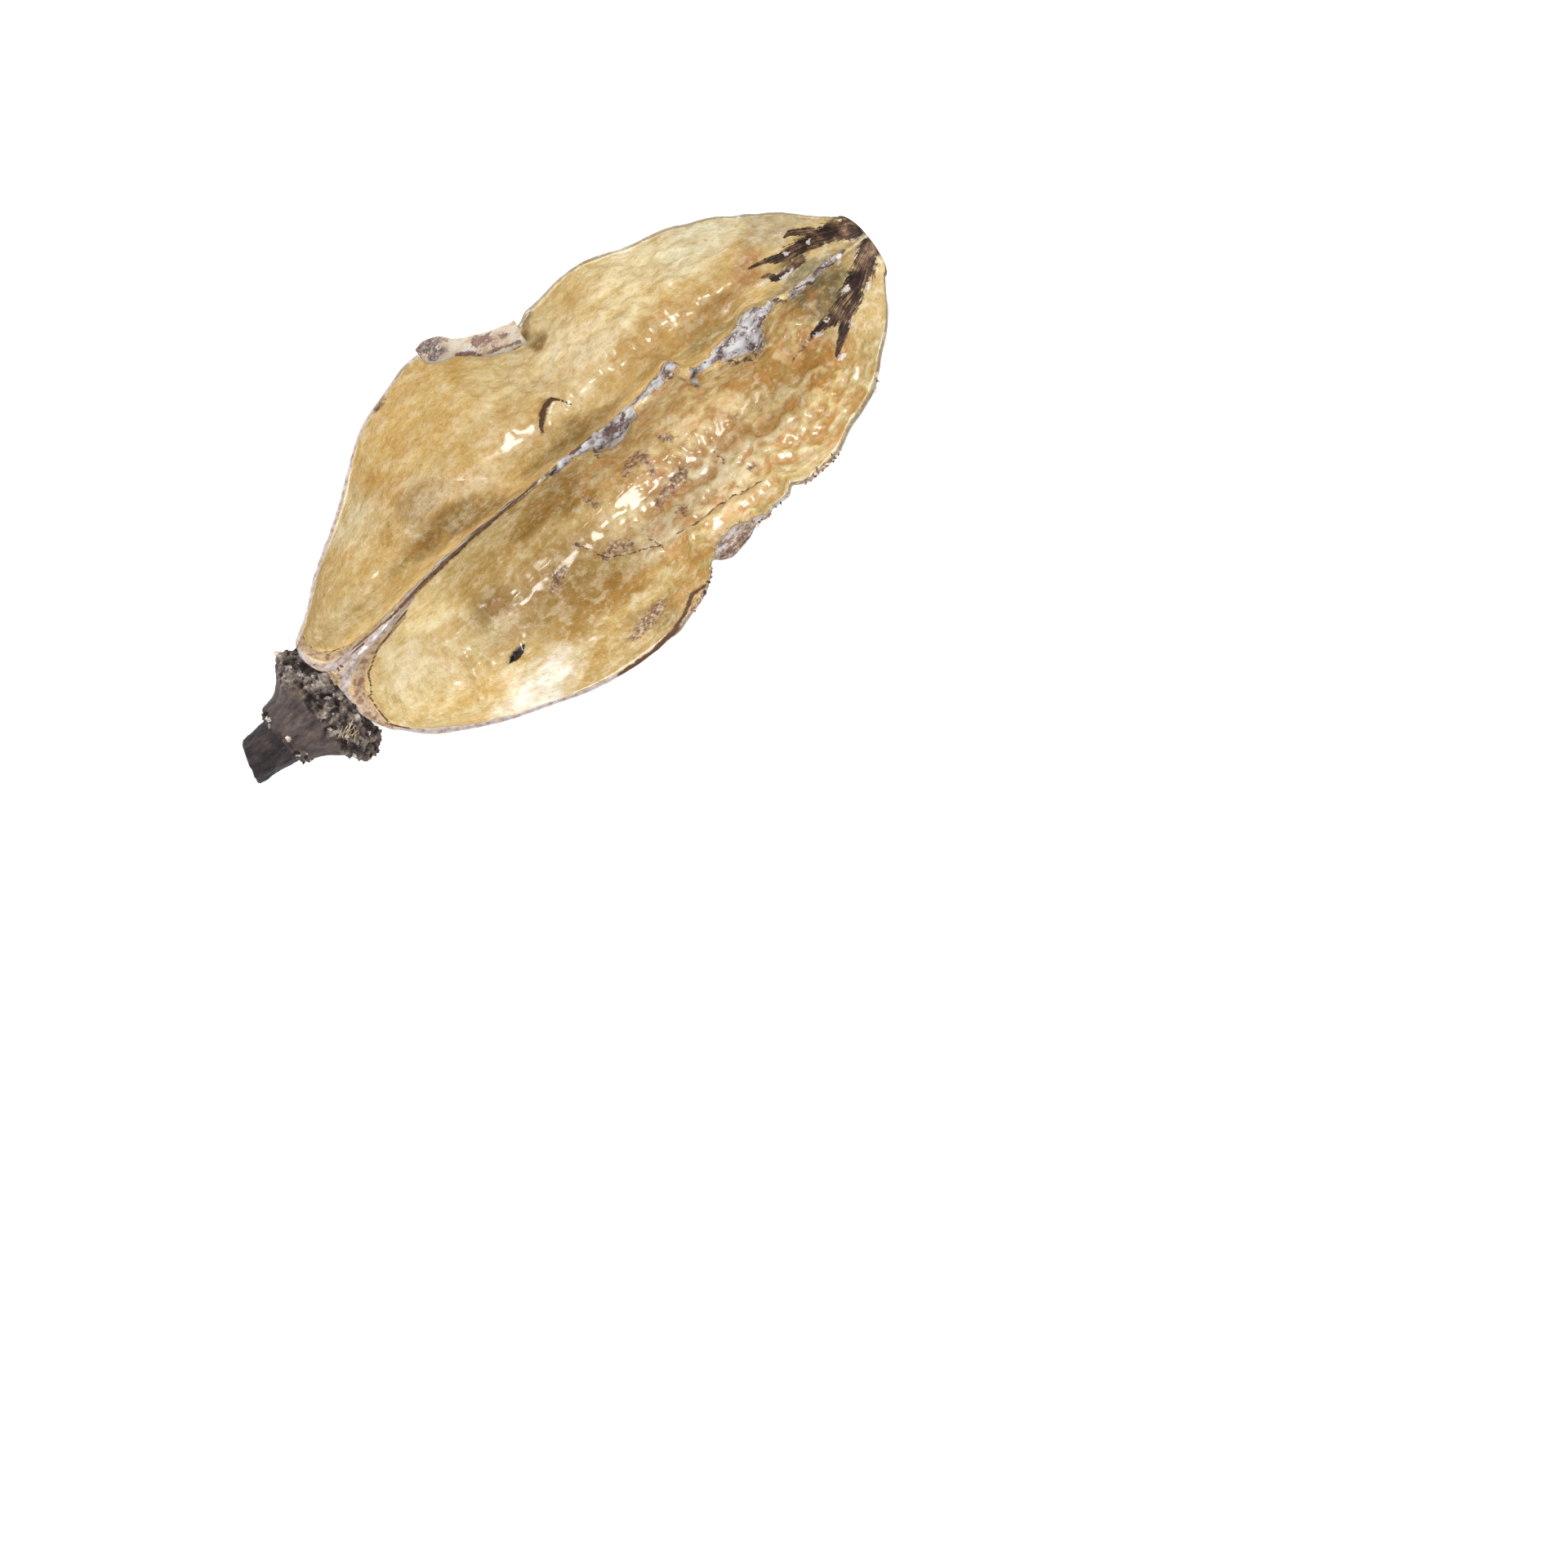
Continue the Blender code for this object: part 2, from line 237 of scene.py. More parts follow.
def wall_shape(y0, z0, y1, z1, s, bowl=2.3):
    """Chamber wall at share s of the way from its crease (y0, z0) to its edge (y1, z1)."""
    rise = s**bowl - SAG * np.sin(np.pi * s**0.7) * (1 - s)
    return y0 + (y1 - y0) * s, z0 + (z1 - z0) * rise


def husk_grid():
    """Points of the husk (sections, points, 3), their names by column, their share of its width."""
    u = np.linspace(0, 1, STATIONS)
    x = FOOT_X + (LAST_X - FOOT_X) * (0.8 * u + 0.2 * (1 - np.cos(np.pi * u)) / 2)
    at = {name: curve(points, x)[:, None] for name, points in dict(
        yl=LEFT_EDGE, yr=RIGHT_EDGE, zl=LEFT_HEIGHT, zr=RIGHT_HEIGHT, fl=LEFT_CREASE,
        fr=RIGHT_CREASE, dl=LEFT_DEPTH, dr=RIGHT_DEPTH, ry=RIDGE, rz=RIDGE_HEIGHT,
        rw=RIDGE_WIDTH, belly=BELLY, groove=GROOVE, edge=EDGE, lb=LEFT_BOWL,
        rb=RIGHT_BOWL).items()}
    width = at["yl"] - at["yr"]
    edge = np.minimum(at["edge"], 0.1 * width)
    half = np.minimum(at["rw"] / 2, 0.07 * width)
    columns, names = [], []

    def add(name, y, z):
        shape = np.broadcast_shapes(y.shape, z.shape)
        columns.append(np.stack([np.broadcast_to(y, shape), np.broadcast_to(z, shape)], -1))
        names.extend([name] * shape[1])

    quarter = shares(0, 1, RIM + 2, True)[:, 1:-1] * np.pi / 2
    s = 1 - (1 - shares(1, 0, WALL)) ** 1.1
    add("left wall", *wall_shape(at["fl"], at["dl"], at["yl"] - edge, at["zl"], s, at["lb"]))
    s = shares(0, 1, FACE_L)
    add("left face", at["fl"] + (at["ry"] + half - at["fl"]) * s**0.55,
        at["dl"] + (at["rz"] - at["dl"]) * s**FACE_RISE)
    s = shares(0, 1, CREST, True)
    add("crest", at["ry"] + half * np.cos(np.pi * s), at["rz"] + 0.35 * half * np.sin(np.pi * s))
    s = shares(1, 0, FACE_R)[:, 1:]
    add("right face", at["fr"] + (at["ry"] - half - at["fr"]) * s**0.7,
        at["dr"] + (at["rz"] - at["dr"]) * s**FACE_RISE)
    s = shares(0, 1, WALL, True)
    add("right wall", *wall_shape(at["fr"], at["dr"], at["yr"] + edge, at["zr"], s, at["rb"]))
    add("rim", at["yr"] + edge * (1 - np.sin(quarter)), at["zr"] - edge * (1 - np.cos(quarter)))
    s = shares(1, 0, UNDER)
    add("outside", *wall_shape(at["fr"], at["belly"], at["yr"], at["zr"] - edge, s))
    s = shares(0, 1, GROOVE_STEPS)
    hump = (1 - np.cos(2 * np.pi * s)) / 2
    add("outside", at["fr"] + (at["fl"] - at["fr"]) * s,
        at["belly"] + (at["groove"] - at["belly"]) * hump)
    s = shares(0, 1, UNDER, True)
    add("outside", *wall_shape(at["fl"], at["belly"], at["yl"], at["zl"] - edge, s))
    add("rim", at["yl"] - edge * (1 - np.cos(quarter)), at["zl"] - edge * (1 - np.sin(quarter)))
    yz = np.concatenate(columns, axis=1)
    grid = np.concatenate([np.repeat(x[:, None, None], yz.shape[1], 1), yz], -1)
    share = (yz[..., 0] - at["yr"]) / width
    middle = np.array([grid[-1, 0, 0], TIP[1], TIP[2]])
    for turn in np.linspace(0.2, 1.35, TIP_RINGS):     # shrinking sections round the tip
        ring = middle + (grid[STATIONS - 1] - middle) * math.cos(turn)
        ring[:, 0] += (TIP[0] - middle[0]) * math.sin(turn)
        grid, share = np.concatenate([grid, ring[None]]), np.concatenate([share, share[-1:]])
    return grid, np.array(names), share


husk_points, husk_names, husk_share = husk_grid()
print("husk grid:", husk_points.shape[:2], "sections by points")

# %% [markdown]
# The foot of the husk is not cut straight: each chamber ends in its own rounded lip. Sliding the
# first few sections along x by an amount that depends on y rounds both lips at once.

# %% Round the foot


def round_foot(points):
    """Slides the foot of each chamber to its own rounded end."""
    x, y = points[..., 0], points[..., 1]
    left = -0.5 + 0.17 * (y - 3.9) ** 2
    right = 0.25 + 0.06 * (y + 1.6) ** 2
    end = np.where(y > 1.2, left, right)
    out = points.copy()
    out[..., 0] = x + (np.minimum(end, 3.0) - FOOT_X) * np.exp(-(x - FOOT_X) / 2.2)
    return out


husk_points = round_foot(husk_points)
print("foot starts at x =", husk_points[..., 0].min().round(2), "mm")

# %% [markdown]
# ## Which way is out
#
# To raise a bump or sink a crack, a point moves along the surface's own normal. On a grid the
# normal is the cross product of the two grid directions. Summed round a closed section, outward
# normals point away from its middle even if the section is hollow, so that sum settles the sign.

# %% Normals of a grid


def normals(grid):
    """Outward unit normals of a grid whose second direction closes on itself."""
    along = np.gradient(grid, axis=0)
    across = np.roll(grid, -1, 1) - np.roll(grid, 1, 1)
    n = np.cross(across, along)
    n *= np.sign((n * (grid - grid.mean(axis=1, keepdims=True))).sum())
    return n / np.maximum(np.linalg.norm(n, axis=-1, keepdims=True), 1e-9)


husk_out = normals(husk_points)
inside = np.isin(husk_names, ["left wall", "left face", "crest", "right face", "right wall"])
print("normal on a chamber floor:", husk_out[150, 40].round(2))

# %% [markdown]
# ## Measuring marks on the surface
#
# Cracks, stains and ridges are drawn as strokes: a path with a radius at each point. The helper
# gives every point of the husk its depth inside the stroke, 1 on the path and 0 at its rim.

# %% Strokes and dabs


def stroke(x, y, path):
    """1 on the path, 0 at its radius, negative outside; the path is (x, y, radius) points."""
    best = np.full(x.shape, -9.0)
    for (ax, ay, ar), (bx, by, br) in zip(path, path[1:]):
        length = max((bx - ax) ** 2 + (by - ay) ** 2, 1e-9)
        t = np.clip(((x - ax) * (bx - ax) + (y - ay) * (by - ay)) / length, 0, 1)
        gap = np.hypot(x - ax - t * (bx - ax), y - ay - t * (by - ay))
        best = np.maximum(best, 1 - gap / (ar + t * (br - ar)))
    return best


def dab(x, y, cx, cy, rx, ry, core=0.0):
    """1 in the core of a soft oval, 0 at its rim; the core is a share of its reach."""
    return ramp(np.hypot((x - cx) / rx, (y - cy) / ry), 1.0, core)


print("middle of a dab:", float(dab(np.array(0.0), np.array(0.0), 0, 0, 1, 1)))

# %% [markdown]
# ## Hammered bumps, folds, cracks and the exit hole
#
# The lining isn't smooth. The right chamber is hammered all over near the tip, the left one is
# dimpled in the middle, glossy blisters stand on both, and the rim is torn. Each of these is a
# height in millimetres, added up and applied along the normals, so they are real shape that
# catches the light, not just a pattern.

# %% Relief of the lining
CRACKS = [[(27.7, -3.9), (28.2, -4.6), (28.8, -5.6), (29.0, -6.3), (29.4, -6.8), (30.5, -7.5),
           (32.0, -8.1), (33.4, -8.7), (34.3, -9.3), (34.5, -10.1)],
          [(34.0, -5.7), (34.05, -6.6), (33.95, -7.4), (33.6, -7.9), (33.8, -8.6), (34.3, -9.3)],
          [(36.2, -9.4), (38.2, -9.8), (40.2, -9.6), (42.2, -9.9), (43.8, -10.4), (46.5, -11.1)],
          [(45.0, -4.7), (44.4, -5.4), (44.3, -7.4), (43.8, -10.2)]]
CRACK_REACH = 0.2
CRACKS = [[(px, py, CRACK_REACH) for px, py in path] for path in CRACKS]
CRESCENT = [(32.1, 7.1, .3), (32.4, 7.7, .5), (33.1, 8.4, .65), (34.0, 8.9, .55),
            (34.9, 9.05, .35), (35.4, 8.6, .22), (35.9, 7.9, .18), (36.3, 7.3, .12)]
FOLD = [(33, -9.6, 1.0), (38, -10.6, 1.2), (43, -11.0, 1.2), (47.5, -11.3, .9)]
DENT = [(12.2, -5.8, .8), (11.6, -8.0, .9), (10.7, -10.6, .7)]
HOLE = [(15.3, -8.85, .22), (15.9, -8.7, .5), (16.6, -8.55, .5), (17.3, -8.3, .2)]
# Raised glossy blisters, each a middle, its reach along and across, and its turn in degrees.
BLISTERS = [(33.1, -6.8, .8, .5, 60), (35.3, -6.7, 1.6, 1.0, 20), (37.4, -6.2, 1.3, .4, 20),
            (38.0, -8.9, 2.0, .5, 0), (40.5, -7.9, .7, 1.3, -15), (41.8, -8.9, .7, .7, 0),
            (42.4, -5.8, .7, .5, 0), (46.6, -8.1, .7, .8, 0), (48.4, -8.5, .6, .6, 0),
            (50.0, -9.0, .9, .6, 20), (36.4, -3.6, 1.2, .4, -20), (39.8, -6.4, 1.0, .4, 0),
            (45.8, -10.9, 1.6, .2, -25), (44.5, -9.4, .9, .9, 0), (43.4, -8.0, .3, .8, 0),
            (52.5, -6.6, 1.2, .7, 0), (55.0, -8.5, 1.0, .7, 0), (47.0, -6.0, .8, .5, 0),
            (27.5, 9.1, 1.6, .75, -25), (35.6, 10.6, .9, .9, 40), (37.3, 12.2, 1.6, .4, 55),
            (39.4, 12.6, 1.6, .35, 65), (42.2, 12.1, .6, 1.0, 0), (42.0, 8.6, 2.0, .45, 15),
            (24.0, 7.7, 2.4, .4, -32), (30.7, 12.0, .8, .6, 0), (14.0, 11.2, .4, .3, 0),
            (45.4, 11.8, .8, .5, 40), (48.5, 10.5, 1.0, .4, 60), (51.0, 12.5, 1.2, .5, 40),
            (49.5, 13.0, .9, .4, 60), (31.2, 9.2, .8, .5, 30), (16.0, 12.6, 1.6, .8, 20),
            (12.0, -11.2, 1.0, .5, 20), (15.0, -12.0, 1.8, .7, 0), (18.5, -13.0, 1.2, .5, 0),
            (54.0, 4.9, 1.4, .3, 10), (8.6, -8.4, 1.0, .35, 45)]


def blistered(x, y):
    """1 in the middle of a blister, 0 outside them all."""
    best = np.zeros(x.shape)
    for cx, cy, rx, ry, turned in BLISTERS:
        c, s = math.cos(math.radians(turned)), math.sin(math.radians(turned))
        u, v = (x - cx) * c + (y - cy) * s, (y - cy) * c - (x - cx) * s
        best = np.maximum(best, dab(u, v, 0, 0, 1.3 * rx, 1.3 * ry))
    return best


def hammering(points):
    """The hammered bumps alone, about -1 to 1: rounded backs with creases between them."""
    backs = 0.5 - 2.2 * np.abs(noise(points, (3.0, 2.0, 3.0), 3))
    small = 0.5 - 2.2 * np.abs(noise(points, (1.3, 1.7, 1.3), 4))
    return 0.55 * backs + 0.45 * small + 0.15 * noise(points, (0.9, 0.7, 0.9), 10)


def husk_relief(points):
    """Height to add to the lining, in millimetres."""
    x, y = points[..., 0], points[..., 1]
    ridge = curve(RIDGE, x)
    right = ramp(y, ridge, ridge - 1.5)
    left = 1 - right
    # long low waves and grain along the fruit, then small bumps everywhere
    height = 0.07 * noise(points, (9, 2.6, 9), 1) + 0.025 * noise(points, (4, 0.9, 4), 2)
    height += 0.09 * noise(points, (2.2, 1.7, 2.2), 7) + 0.05 * noise(points, (1.1, 0.9, 1.1), 9)
    hammered = right * ramp(x, 28, 40) * ramp(x, 66, 58) * ramp(y, -14, -11)
    height += 0.26 * hammered * hammering(points)
    dimpled = left * ramp(x, 26, 34) * ramp(x, 60, 52) * ramp(y, 5, 8) * ramp(y, 16, 12)
    height += dimpled * (0.30 * noise(points, (2.0, 3.0, 2.0), 5)
                         + 0.20 * noise(points, (1.0, 1.7, 1.0), 6))
    # the whole chamber floor swells and sinks a little, away from foot and tip
    height += 0.40 * noise(points, (12, 8, 12), 8) * ramp(x, 3, 12) * ramp(x, 66, 56)
    height += 0.10 * blistered(x, y)
    bend = 0.45 * noise(points, 1.1, 14)
    for path in CRACKS:
        height -= 0.10 * np.clip(stroke(x + bend, y - bend, path), 0, 1)
    # the crescent is a cut with a raised, wider lip round it
    height -= 0.30 * ramp(stroke(x, y, CRESCENT), 0.1, 0.9) * left
    wide = [(px, py, r * 3) for px, py, r in CRESCENT]
    height += 0.18 * ramp(stroke(x, y, wide), 0.0, 0.6) * left
    height += 0.35 * ramp(stroke(x, y, FOLD), 0.0, 1.0)
    height -= 0.35 * ramp(stroke(x, y, DENT), 0.0, 1.0) * right
    height -= 0.85 * ramp(stroke(x, y, HOLE), 0.0, 0.35) * right
    return height


def crest_relief(points):
    """The torn edge of the partition: fine and ragged in the middle, broad and crumbly later."""
    x = points[..., 0]
    ragged = 0.05 + 0.5 * ramp(x, 26, 32) * ramp(x, 66, 58)
    torn = 0.7 * noise(points, (1.8, 0.9, 0.9), 11) + 0.45 * noise(points, (0.8, 0.5, 0.5), 12)
    return ragged * torn


crest_columns = np.where(husk_names == "crest")[0]
steps_off = np.abs(np.arange(len(husk_names))[:, None] - crest_columns).min(axis=1)
near_crest = np.where(np.isin(husk_names, ["left face", "crest", "right face"]),
                      np.exp(-steps_off / 3.0), 0.0)
outer = 0.06 * noise(husk_points, (9, 2.5, 4), 21) + 0.12 * noise(husk_points, (6, 4, 4), 22)
edge_rag = 0.10 * noise(husk_points, (1.2, 1.2, 1.2), 23)
rim = husk_names == "rim"
height = np.where(inside, husk_relief(husk_points), outer * ~rim)
height = height + near_crest * crest_relief(husk_points) + edge_rag * rim
ends = ramp(husk_points[..., 0], FOOT_X, 2.5) * ramp(husk_points[..., 0], LAST_X, 66.5)
husk_shaped = husk_points + husk_out * (height * ends)[..., None]
husk_shaped[..., 2] = np.maximum(husk_shaped[..., 2], FLOOR)
print("relief from", height.min().round(2), "to", height.max().round(2), "mm")

# %% [markdown]
# ## Painting the husk
#
# A parchment lining has no two places of the same colour: cream where it is thin near the rim,
# gold in the valleys, orange brown where it is hammered. These broad tones are dabs of colour
# laid over a base, mixed in light values, kept as an attribute on the points. Some of the paint
# is painted light: painted shade in the left crease and on both faces of the partition, a painted
# shadow where the rolled strip ends, painted highlight on pale parts of the right wall, a lighter
# left wall and a darker right wall, and darker hollows and paler backs on the hammered bumps. The
# sharp marks (stain, bark, seam) are kept as separate masks, so that the material can tear their
# edges with a finer noise than the mesh could carry.

# %% Broad tones, with painted shade and highlight


def light(r, g, b):
    """A colour given as 0 to 255 on screen, as light values."""
    c = np.array([r, g, b], float) / 255
    return np.where(c <= 0.04045, c / 12.92, ((c + 0.055) / 1.055) ** 2.4)


BOUNCE = (0.92, 0.955, 0.99)  # light between the walls warms a colour; paint is laid bluer
# painted light: the left wall's paint is laid lighter and the right wall's darker
LIFT = (1.12, 0.86)           # the left wall leans away from the light, so its paint is stronger
TONES_WITH_PAINTED_LIGHT = [
    # x, y, reach in x, reach in y, colour as it should look, strength
    (4, 6, 7, 5, (195, 168, 118), .8), (10.5, 12.3, 7, 3.5, (230, 212, 172), .85),
    (18, 9, 3.8, 3, (150, 124, 86), .9), (20, 9, 6, 3, (208, 182, 142), .6),
    (22, 15.5, 10, 3.5, (208, 172, 108), .85), (34, 13, 9, 4, (220, 198, 150), .8),
    (40, 11, 8, 4, (236, 218, 180), .85), (48, 13, 9, 4, (240, 220, 174), .85),
    (57, 12, 8, 3.4, (228, 216, 180), .9), (62, 8.2, 5, 3, (190, 172, 140), .8),
    (30, 7.5, 5, 2, (192, 166, 122), .5), (24, 8, 4, 2, (218, 192, 154), .6),
    # painted shade: the dark gold and brown dabs from (46, 7) to (58, 6.6), in the left crease and on
    # the left face of the partition
    (36, 8.5, 5, 2.5, (224, 198, 148), .6), (46, 7, 10, 2.4, (192, 154, 94), .85),
    (48, 5.4, 9, 1.8, (184, 146, 86), .85), (18, 5.6, 9, 2.2, (140, 112, 66), .95),
    (23, 3.8, 8, 1.5, (134, 104, 54), .9), (34, 4.4, 8, 2.2, (154, 124, 74), .9),
    (53, 5.4, 5, 2.0, (158, 122, 72), .9), (58, 6.6, 3.4, 1.8, (168, 116, 64), .85),
    (53, 3.4, 8, 1.5, (140, 120, 74), .95), (62, 3.0, 7.0, 2.0, (126, 116, 88), 1.0),
    (7, -4, 6, 5, (227, 205, 160), .9), (12, 0, 6, 2.0, (244, 220, 168), .9),
    # (16, -12.5) is partly the lining's own pale colour, partly a painted highlight on the right wall
    # by the foot
    (8, -8.5, 7, 3.5, (204, 176, 120), .85), (16, -12.5, 8, 3.2, (246, 236, 216), .95),
    # (24, -14) is painted shade, laid darker where the key light falls strongest on the outer right
    # wall
    (24, -14, 7, 2.5, (196, 162, 98), .85), (12, -5.5, 4, 2.5, (208, 178, 120), .7),
    # painted shade: (17.8, -3.2), (20, 0), (28, 0.6) and (24, -5.5) darken the right face of the
    # partition and the floor below it
    (17.8, -3.2, 4.2, 3.0, (140, 100, 36), .9), (20, 0, 9, 1.8, (196, 158, 94), .9),
    (28, 0.6, 8, 1.8, (156, 116, 52), .95), (24, -5.5, 9, 4.5, (168, 128, 62), .9),
    # (26, -10) and (30, -14.5) are painted shade too, laid darker where the key light is strongest
    (26, -10, 9, 3, (160, 118, 48), .9), (30, -14.5, 6, 2.2, (152, 122, 70), .85),
    # (35, -8.5) is partly pale lining, partly a painted highlight on the hammered wall
    (35, -4.4, 6, 4, (222, 188, 128), .85), (35, -8.5, 6, 2.5, (234, 212, 176), .8),
    (39, -4, 4, 3, (208, 174, 130), .7), (45.5, -1.0, 8, 3, (236, 202, 144), .85),
    # (43, -8) is partly pale lining, partly a painted highlight on the hammered wall
    (45, -5, 7, 2.5, (214, 172, 118), .85), (43, -8, 9, 3.2, (244, 222, 182), .85),
    # (36, -12.5) is painted shade, laid darker where the key light is strongest on the outer wall
    (50, -10.5, 6, 2.5, (212, 188, 140), .8), (36, -12.5, 7, 2.2, (184, 152, 90), .9),
    (43, -13, 6, 2.0, (184, 158, 104), .85), (55, -3, 6, 3.5, (178, 136, 70), .9),
    (58, -5.5, 4, 2.5, (170, 128, 68), .9), (62, -8, 5, 3.8, (186, 160, 106), .95),
    # (36, 0.8) is painted shade on the right face of the partition
    (57, -11, 6, 2.2, (196, 172, 122), .85), (36, 0.8, 6, 1.6, (184, 152, 92), .8),
    (62.5, 0.2, 5.5, 2.2, (124, 110, 76), 1.0), (57.5, 1.2, 2, 1.4, (210, 182, 108), .9),
    # (37.4, 15.2) is a painted shadow where the rolled strip ends
    (37.4, 15.2, 0.9, 2.2, (96, 70, 24), 1.0), (46, 1.3, 1.3, 1.2, (222, 198, 128), .9),
    (68.6, 1.8, 2.8, 3.6, (74, 64, 48), .95),
]


def paint(colour):
    """Light values of the paint that looks like this colour inside the husk."""
    return light(*np.minimum(np.array(colour) * BOUNCE, 250))


def husk_tone_with_painted_light(points):
    """Broad colour of the lining, in light values, with its painted shade and highlight."""
    wobble = points + 1.4 * np.stack([noise(points, (5, 3, 5), 31 + k) for k in range(3)], -1)
    wobble += 0.6 * np.stack([noise(points, (1.8, 1.2, 1.8), 38 + k) for k in range(3)], -1)
    x, y = wobble[..., 0], wobble[..., 1]
    tone = np.broadcast_to(paint((206, 174, 116)), points.shape).copy()
    side = np.sign(points[..., 1] - curve(RIDGE, points[..., 0]))
    for cx, cy, rx, ry, colour, strength in TONES_WITH_PAINTED_LIGHT:
        same = np.where(side == np.sign(cy - float(curve(RIDGE, cx))), 1.0, 0.1)
        amount = (dab(x, y, cx, cy, rx, ry, core=0.3) * strength * same)[..., None]
        tone = tone * (1 - amount) + paint(colour) * amount
    # painted shade and highlight: orange brown where the hammering noise sinks, pale where it rises,
    # strongest in the hammered part of the right chamber
    bumps = hammering(points)
    ham = ramp(x, 28, 38) * ramp(x, 64, 58) * (side < 0) + 0.35
    for low, high, colour, strength in ((0.0, -0.35, (176, 128, 62), .55),
                                        (0.05, 0.35, (236, 212, 156), .34)):
        amount = (strength * ham * ramp(bumps, low, high))[..., None]
        tone = tone * (1 - amount) + light(*colour) * amount
    blush = (0.35 * ham * ramp(noise(points, (2.4, 1.6, 2.4), 36), 0.15, 0.5))[..., None]
    tone = tone * (1 - blush) + light(204, 150, 98) * blush
    # painted light: lighter paint on the left wall, darker on the right, lighter again near the right
    # chamber's foot
    shade = np.where(side > 0, LIFT[0], LIFT[1]) + 0.12 * ramp(np.abs(x - 8), 10, 4) * (side < 0)
    return tone * shade[..., None]


tone = husk_tone_with_painted_light(husk_points)
outside_tone = np.broadcast_to(light(196, 158, 98), tone.shape).copy()
band = ramp(layered(husk_points, (14, 5, 5), 3, 41), -0.1, 0.5)[..., None]
outside_tone = outside_tone * (1 - band) + light(216, 186, 130) * band
outside_tone = np.where(rim[None, :, None], light(128, 116, 96), outside_tone)
tone = np.where(inside[None, :, None], tone, outside_tone)
print("mean tone:", tone.mean((0, 1)).round(3))

# %% [markdown]
# ## Masks for the sharp marks
#
# Each kind of mark is a list of strokes: the purple-brown stain at the tip and its pale flecks,
# the bark left on rims and torn edges, the pale lips and brown bands of the foot, thin dark lines
# along seams, and the pith where the partition is torn, with its dark veins. A few soft ovals
# say where the lining is dull.

# %% Stain, bark, line and pith
STAINS = [[(58.4, 6.7, .12), (59.6, 6.4, .2), (60.6, 6.0, .3), (61.6, 5.5, .65), (63, 5.1, .85),
           (65, 4.8, .95), (67, 4.3, .95), (68.8, 3.0, 1.1)],
          [(62.9, 6.7, .12), (63.6, 6.7, .25), (64.4, 6.2, .35), (65.5, 5.6, .4)],
          [(58.4, 5.0, .15), (59.0, 5.2, .2), (59.5, 4.9, .3), (59.7, 4.3, .35), (61, 3.95, .4),
           (63, 4.0, .5)],
          [(59.2, -2.4, .3), (60.2, -2.3, .4), (61.8, -2.5, .8), (63.6, -2.2, 1.05),
           (65.2, -1.4, 1.15), (67, -.8, 1.15), (68.8, 0.6, 1.2)],
          [(59.7, -5.6, .25), (60.6, -4.9, .3), (61.6, -4.2, .5), (62.8, -3.2, .8),
           (65, -2.0, .9)]]
FLECKS = [[(58.7, 4.7, .35), (58.9, 4.6, .3)], [(62.1, 5.5, .25), (62.3, 5.5, .2)],
          [(64.5, 5.0, .2), (64.8, 4.9, .2)], [(64.2, -1.1, .25), (64.8, -1.1, .3)],
          [(61.0, -2.2, .25), (61.4, -2.2, .2)], [(62.8, -3.9, .2), (62.9, -4.1, .2)],
          [(66.2, -2.4, .2), (66.7, -2.1, .2)], [(59.8, -6.0, .3), (60.5, -6.0, .2)],
          [(59.5, -2.7, .3), (59.9, -2.8, .2)], [(60.4, 3.8, .2), (61.6, 3.75, .2)],
          [(65.5, 1.2, .2), (66, 1.9, .3)]]
BARKS = [[(32.5, -16.6, .5), (35.5, -15.8, .6), (37, -14.8, .5)],
         [(42.5, -14.2, .25), (48, -13.9, .3), (54, -13.8, .35), (60, -11.5, .3), (63, -9, .3)],
         [(26.3, -14.9, .5), (28.5, -14.5, .9), (30.6, -13.9, .6)],
         [(20.2, 18.0, .3), (21.2, 18.1, .5), (22.0, 18.4, .3)],
         [(23.2, -5.9, .7), (24.2, -5.2, 1.1), (25.2, -5.0, .5)],
         [(29.1, -6.6, .5), (30.4, -6.5, .9), (31.9, -7.1, .6)], [(31.3, -0.9, .4), (31.8, -1.9, .5)],
         [(36.0, -1.3, .4), (36.8, -.95, .55), (37.8, -.75, .5), (38.5, -1.4, .5),
          (38.5, -2.4, .4), (38.1, -3.2, .3)],
         [(36.7, -5.8, .6), (38.3, -5.4, .7), (39.9, -4.9, .9), (41.2, -4.8, .4)],
         [(41.1, -.7, .45), (41.7, -1.3, .5)], [(37.8, -7.6, .45), (38.4, -7.9, .5)],
         [(45.7, -8.9, .3), (46.3, -9.2, .45)], [(47.9, -3.9, .25), (48.4, -3.8, .25)],
         [(56, -3.1, .15), (59.2, -2.4, .3)], [(27.4, -3.9, .35), (27.9, -3.8, .3)],
         [(-0.2, 1.4, .6), (1.0, .6, .7), (.0, -.6, .5)],
         [(38.0, -14.5, .6), (39.8, -13.9, 1.3), (41.4, -13.7, 1.1), (42.6, -13.6, .6)]]
SEAM = [(8, 1.5, .2), (10, 1.65, .4), (14, 2.15, .6), (20, 2.55, .7), (25, 2.65, .65),
        (28.5, 2.8, .5)]
RIM_LINE = [(23, -17.1, .4), (27, -17.4, .45), (30, -17.1, .5), (32, -16.3, .45),
            (33.5, -15.2, .4), (35, -15.4, .4)]
RIGHT_LIP = [(12, 1.6, .25), (9, 1.15, .35), (6, .95, .45), (4.5, .8, .5), (3.3, .45, .6),
             (1.9, -.15, .65), (.8, -1.1, .6), (.45, -2.2, .55), (.5, -3.6, .5), (.8, -4.9, .45),
             (1.25, -6.4, .4), (2.0, -7.6, .4), (3.2, -8.8, .4), (5, -9.9, .4), (8, -11.6, .4),
             (12, -13.4, .35)]
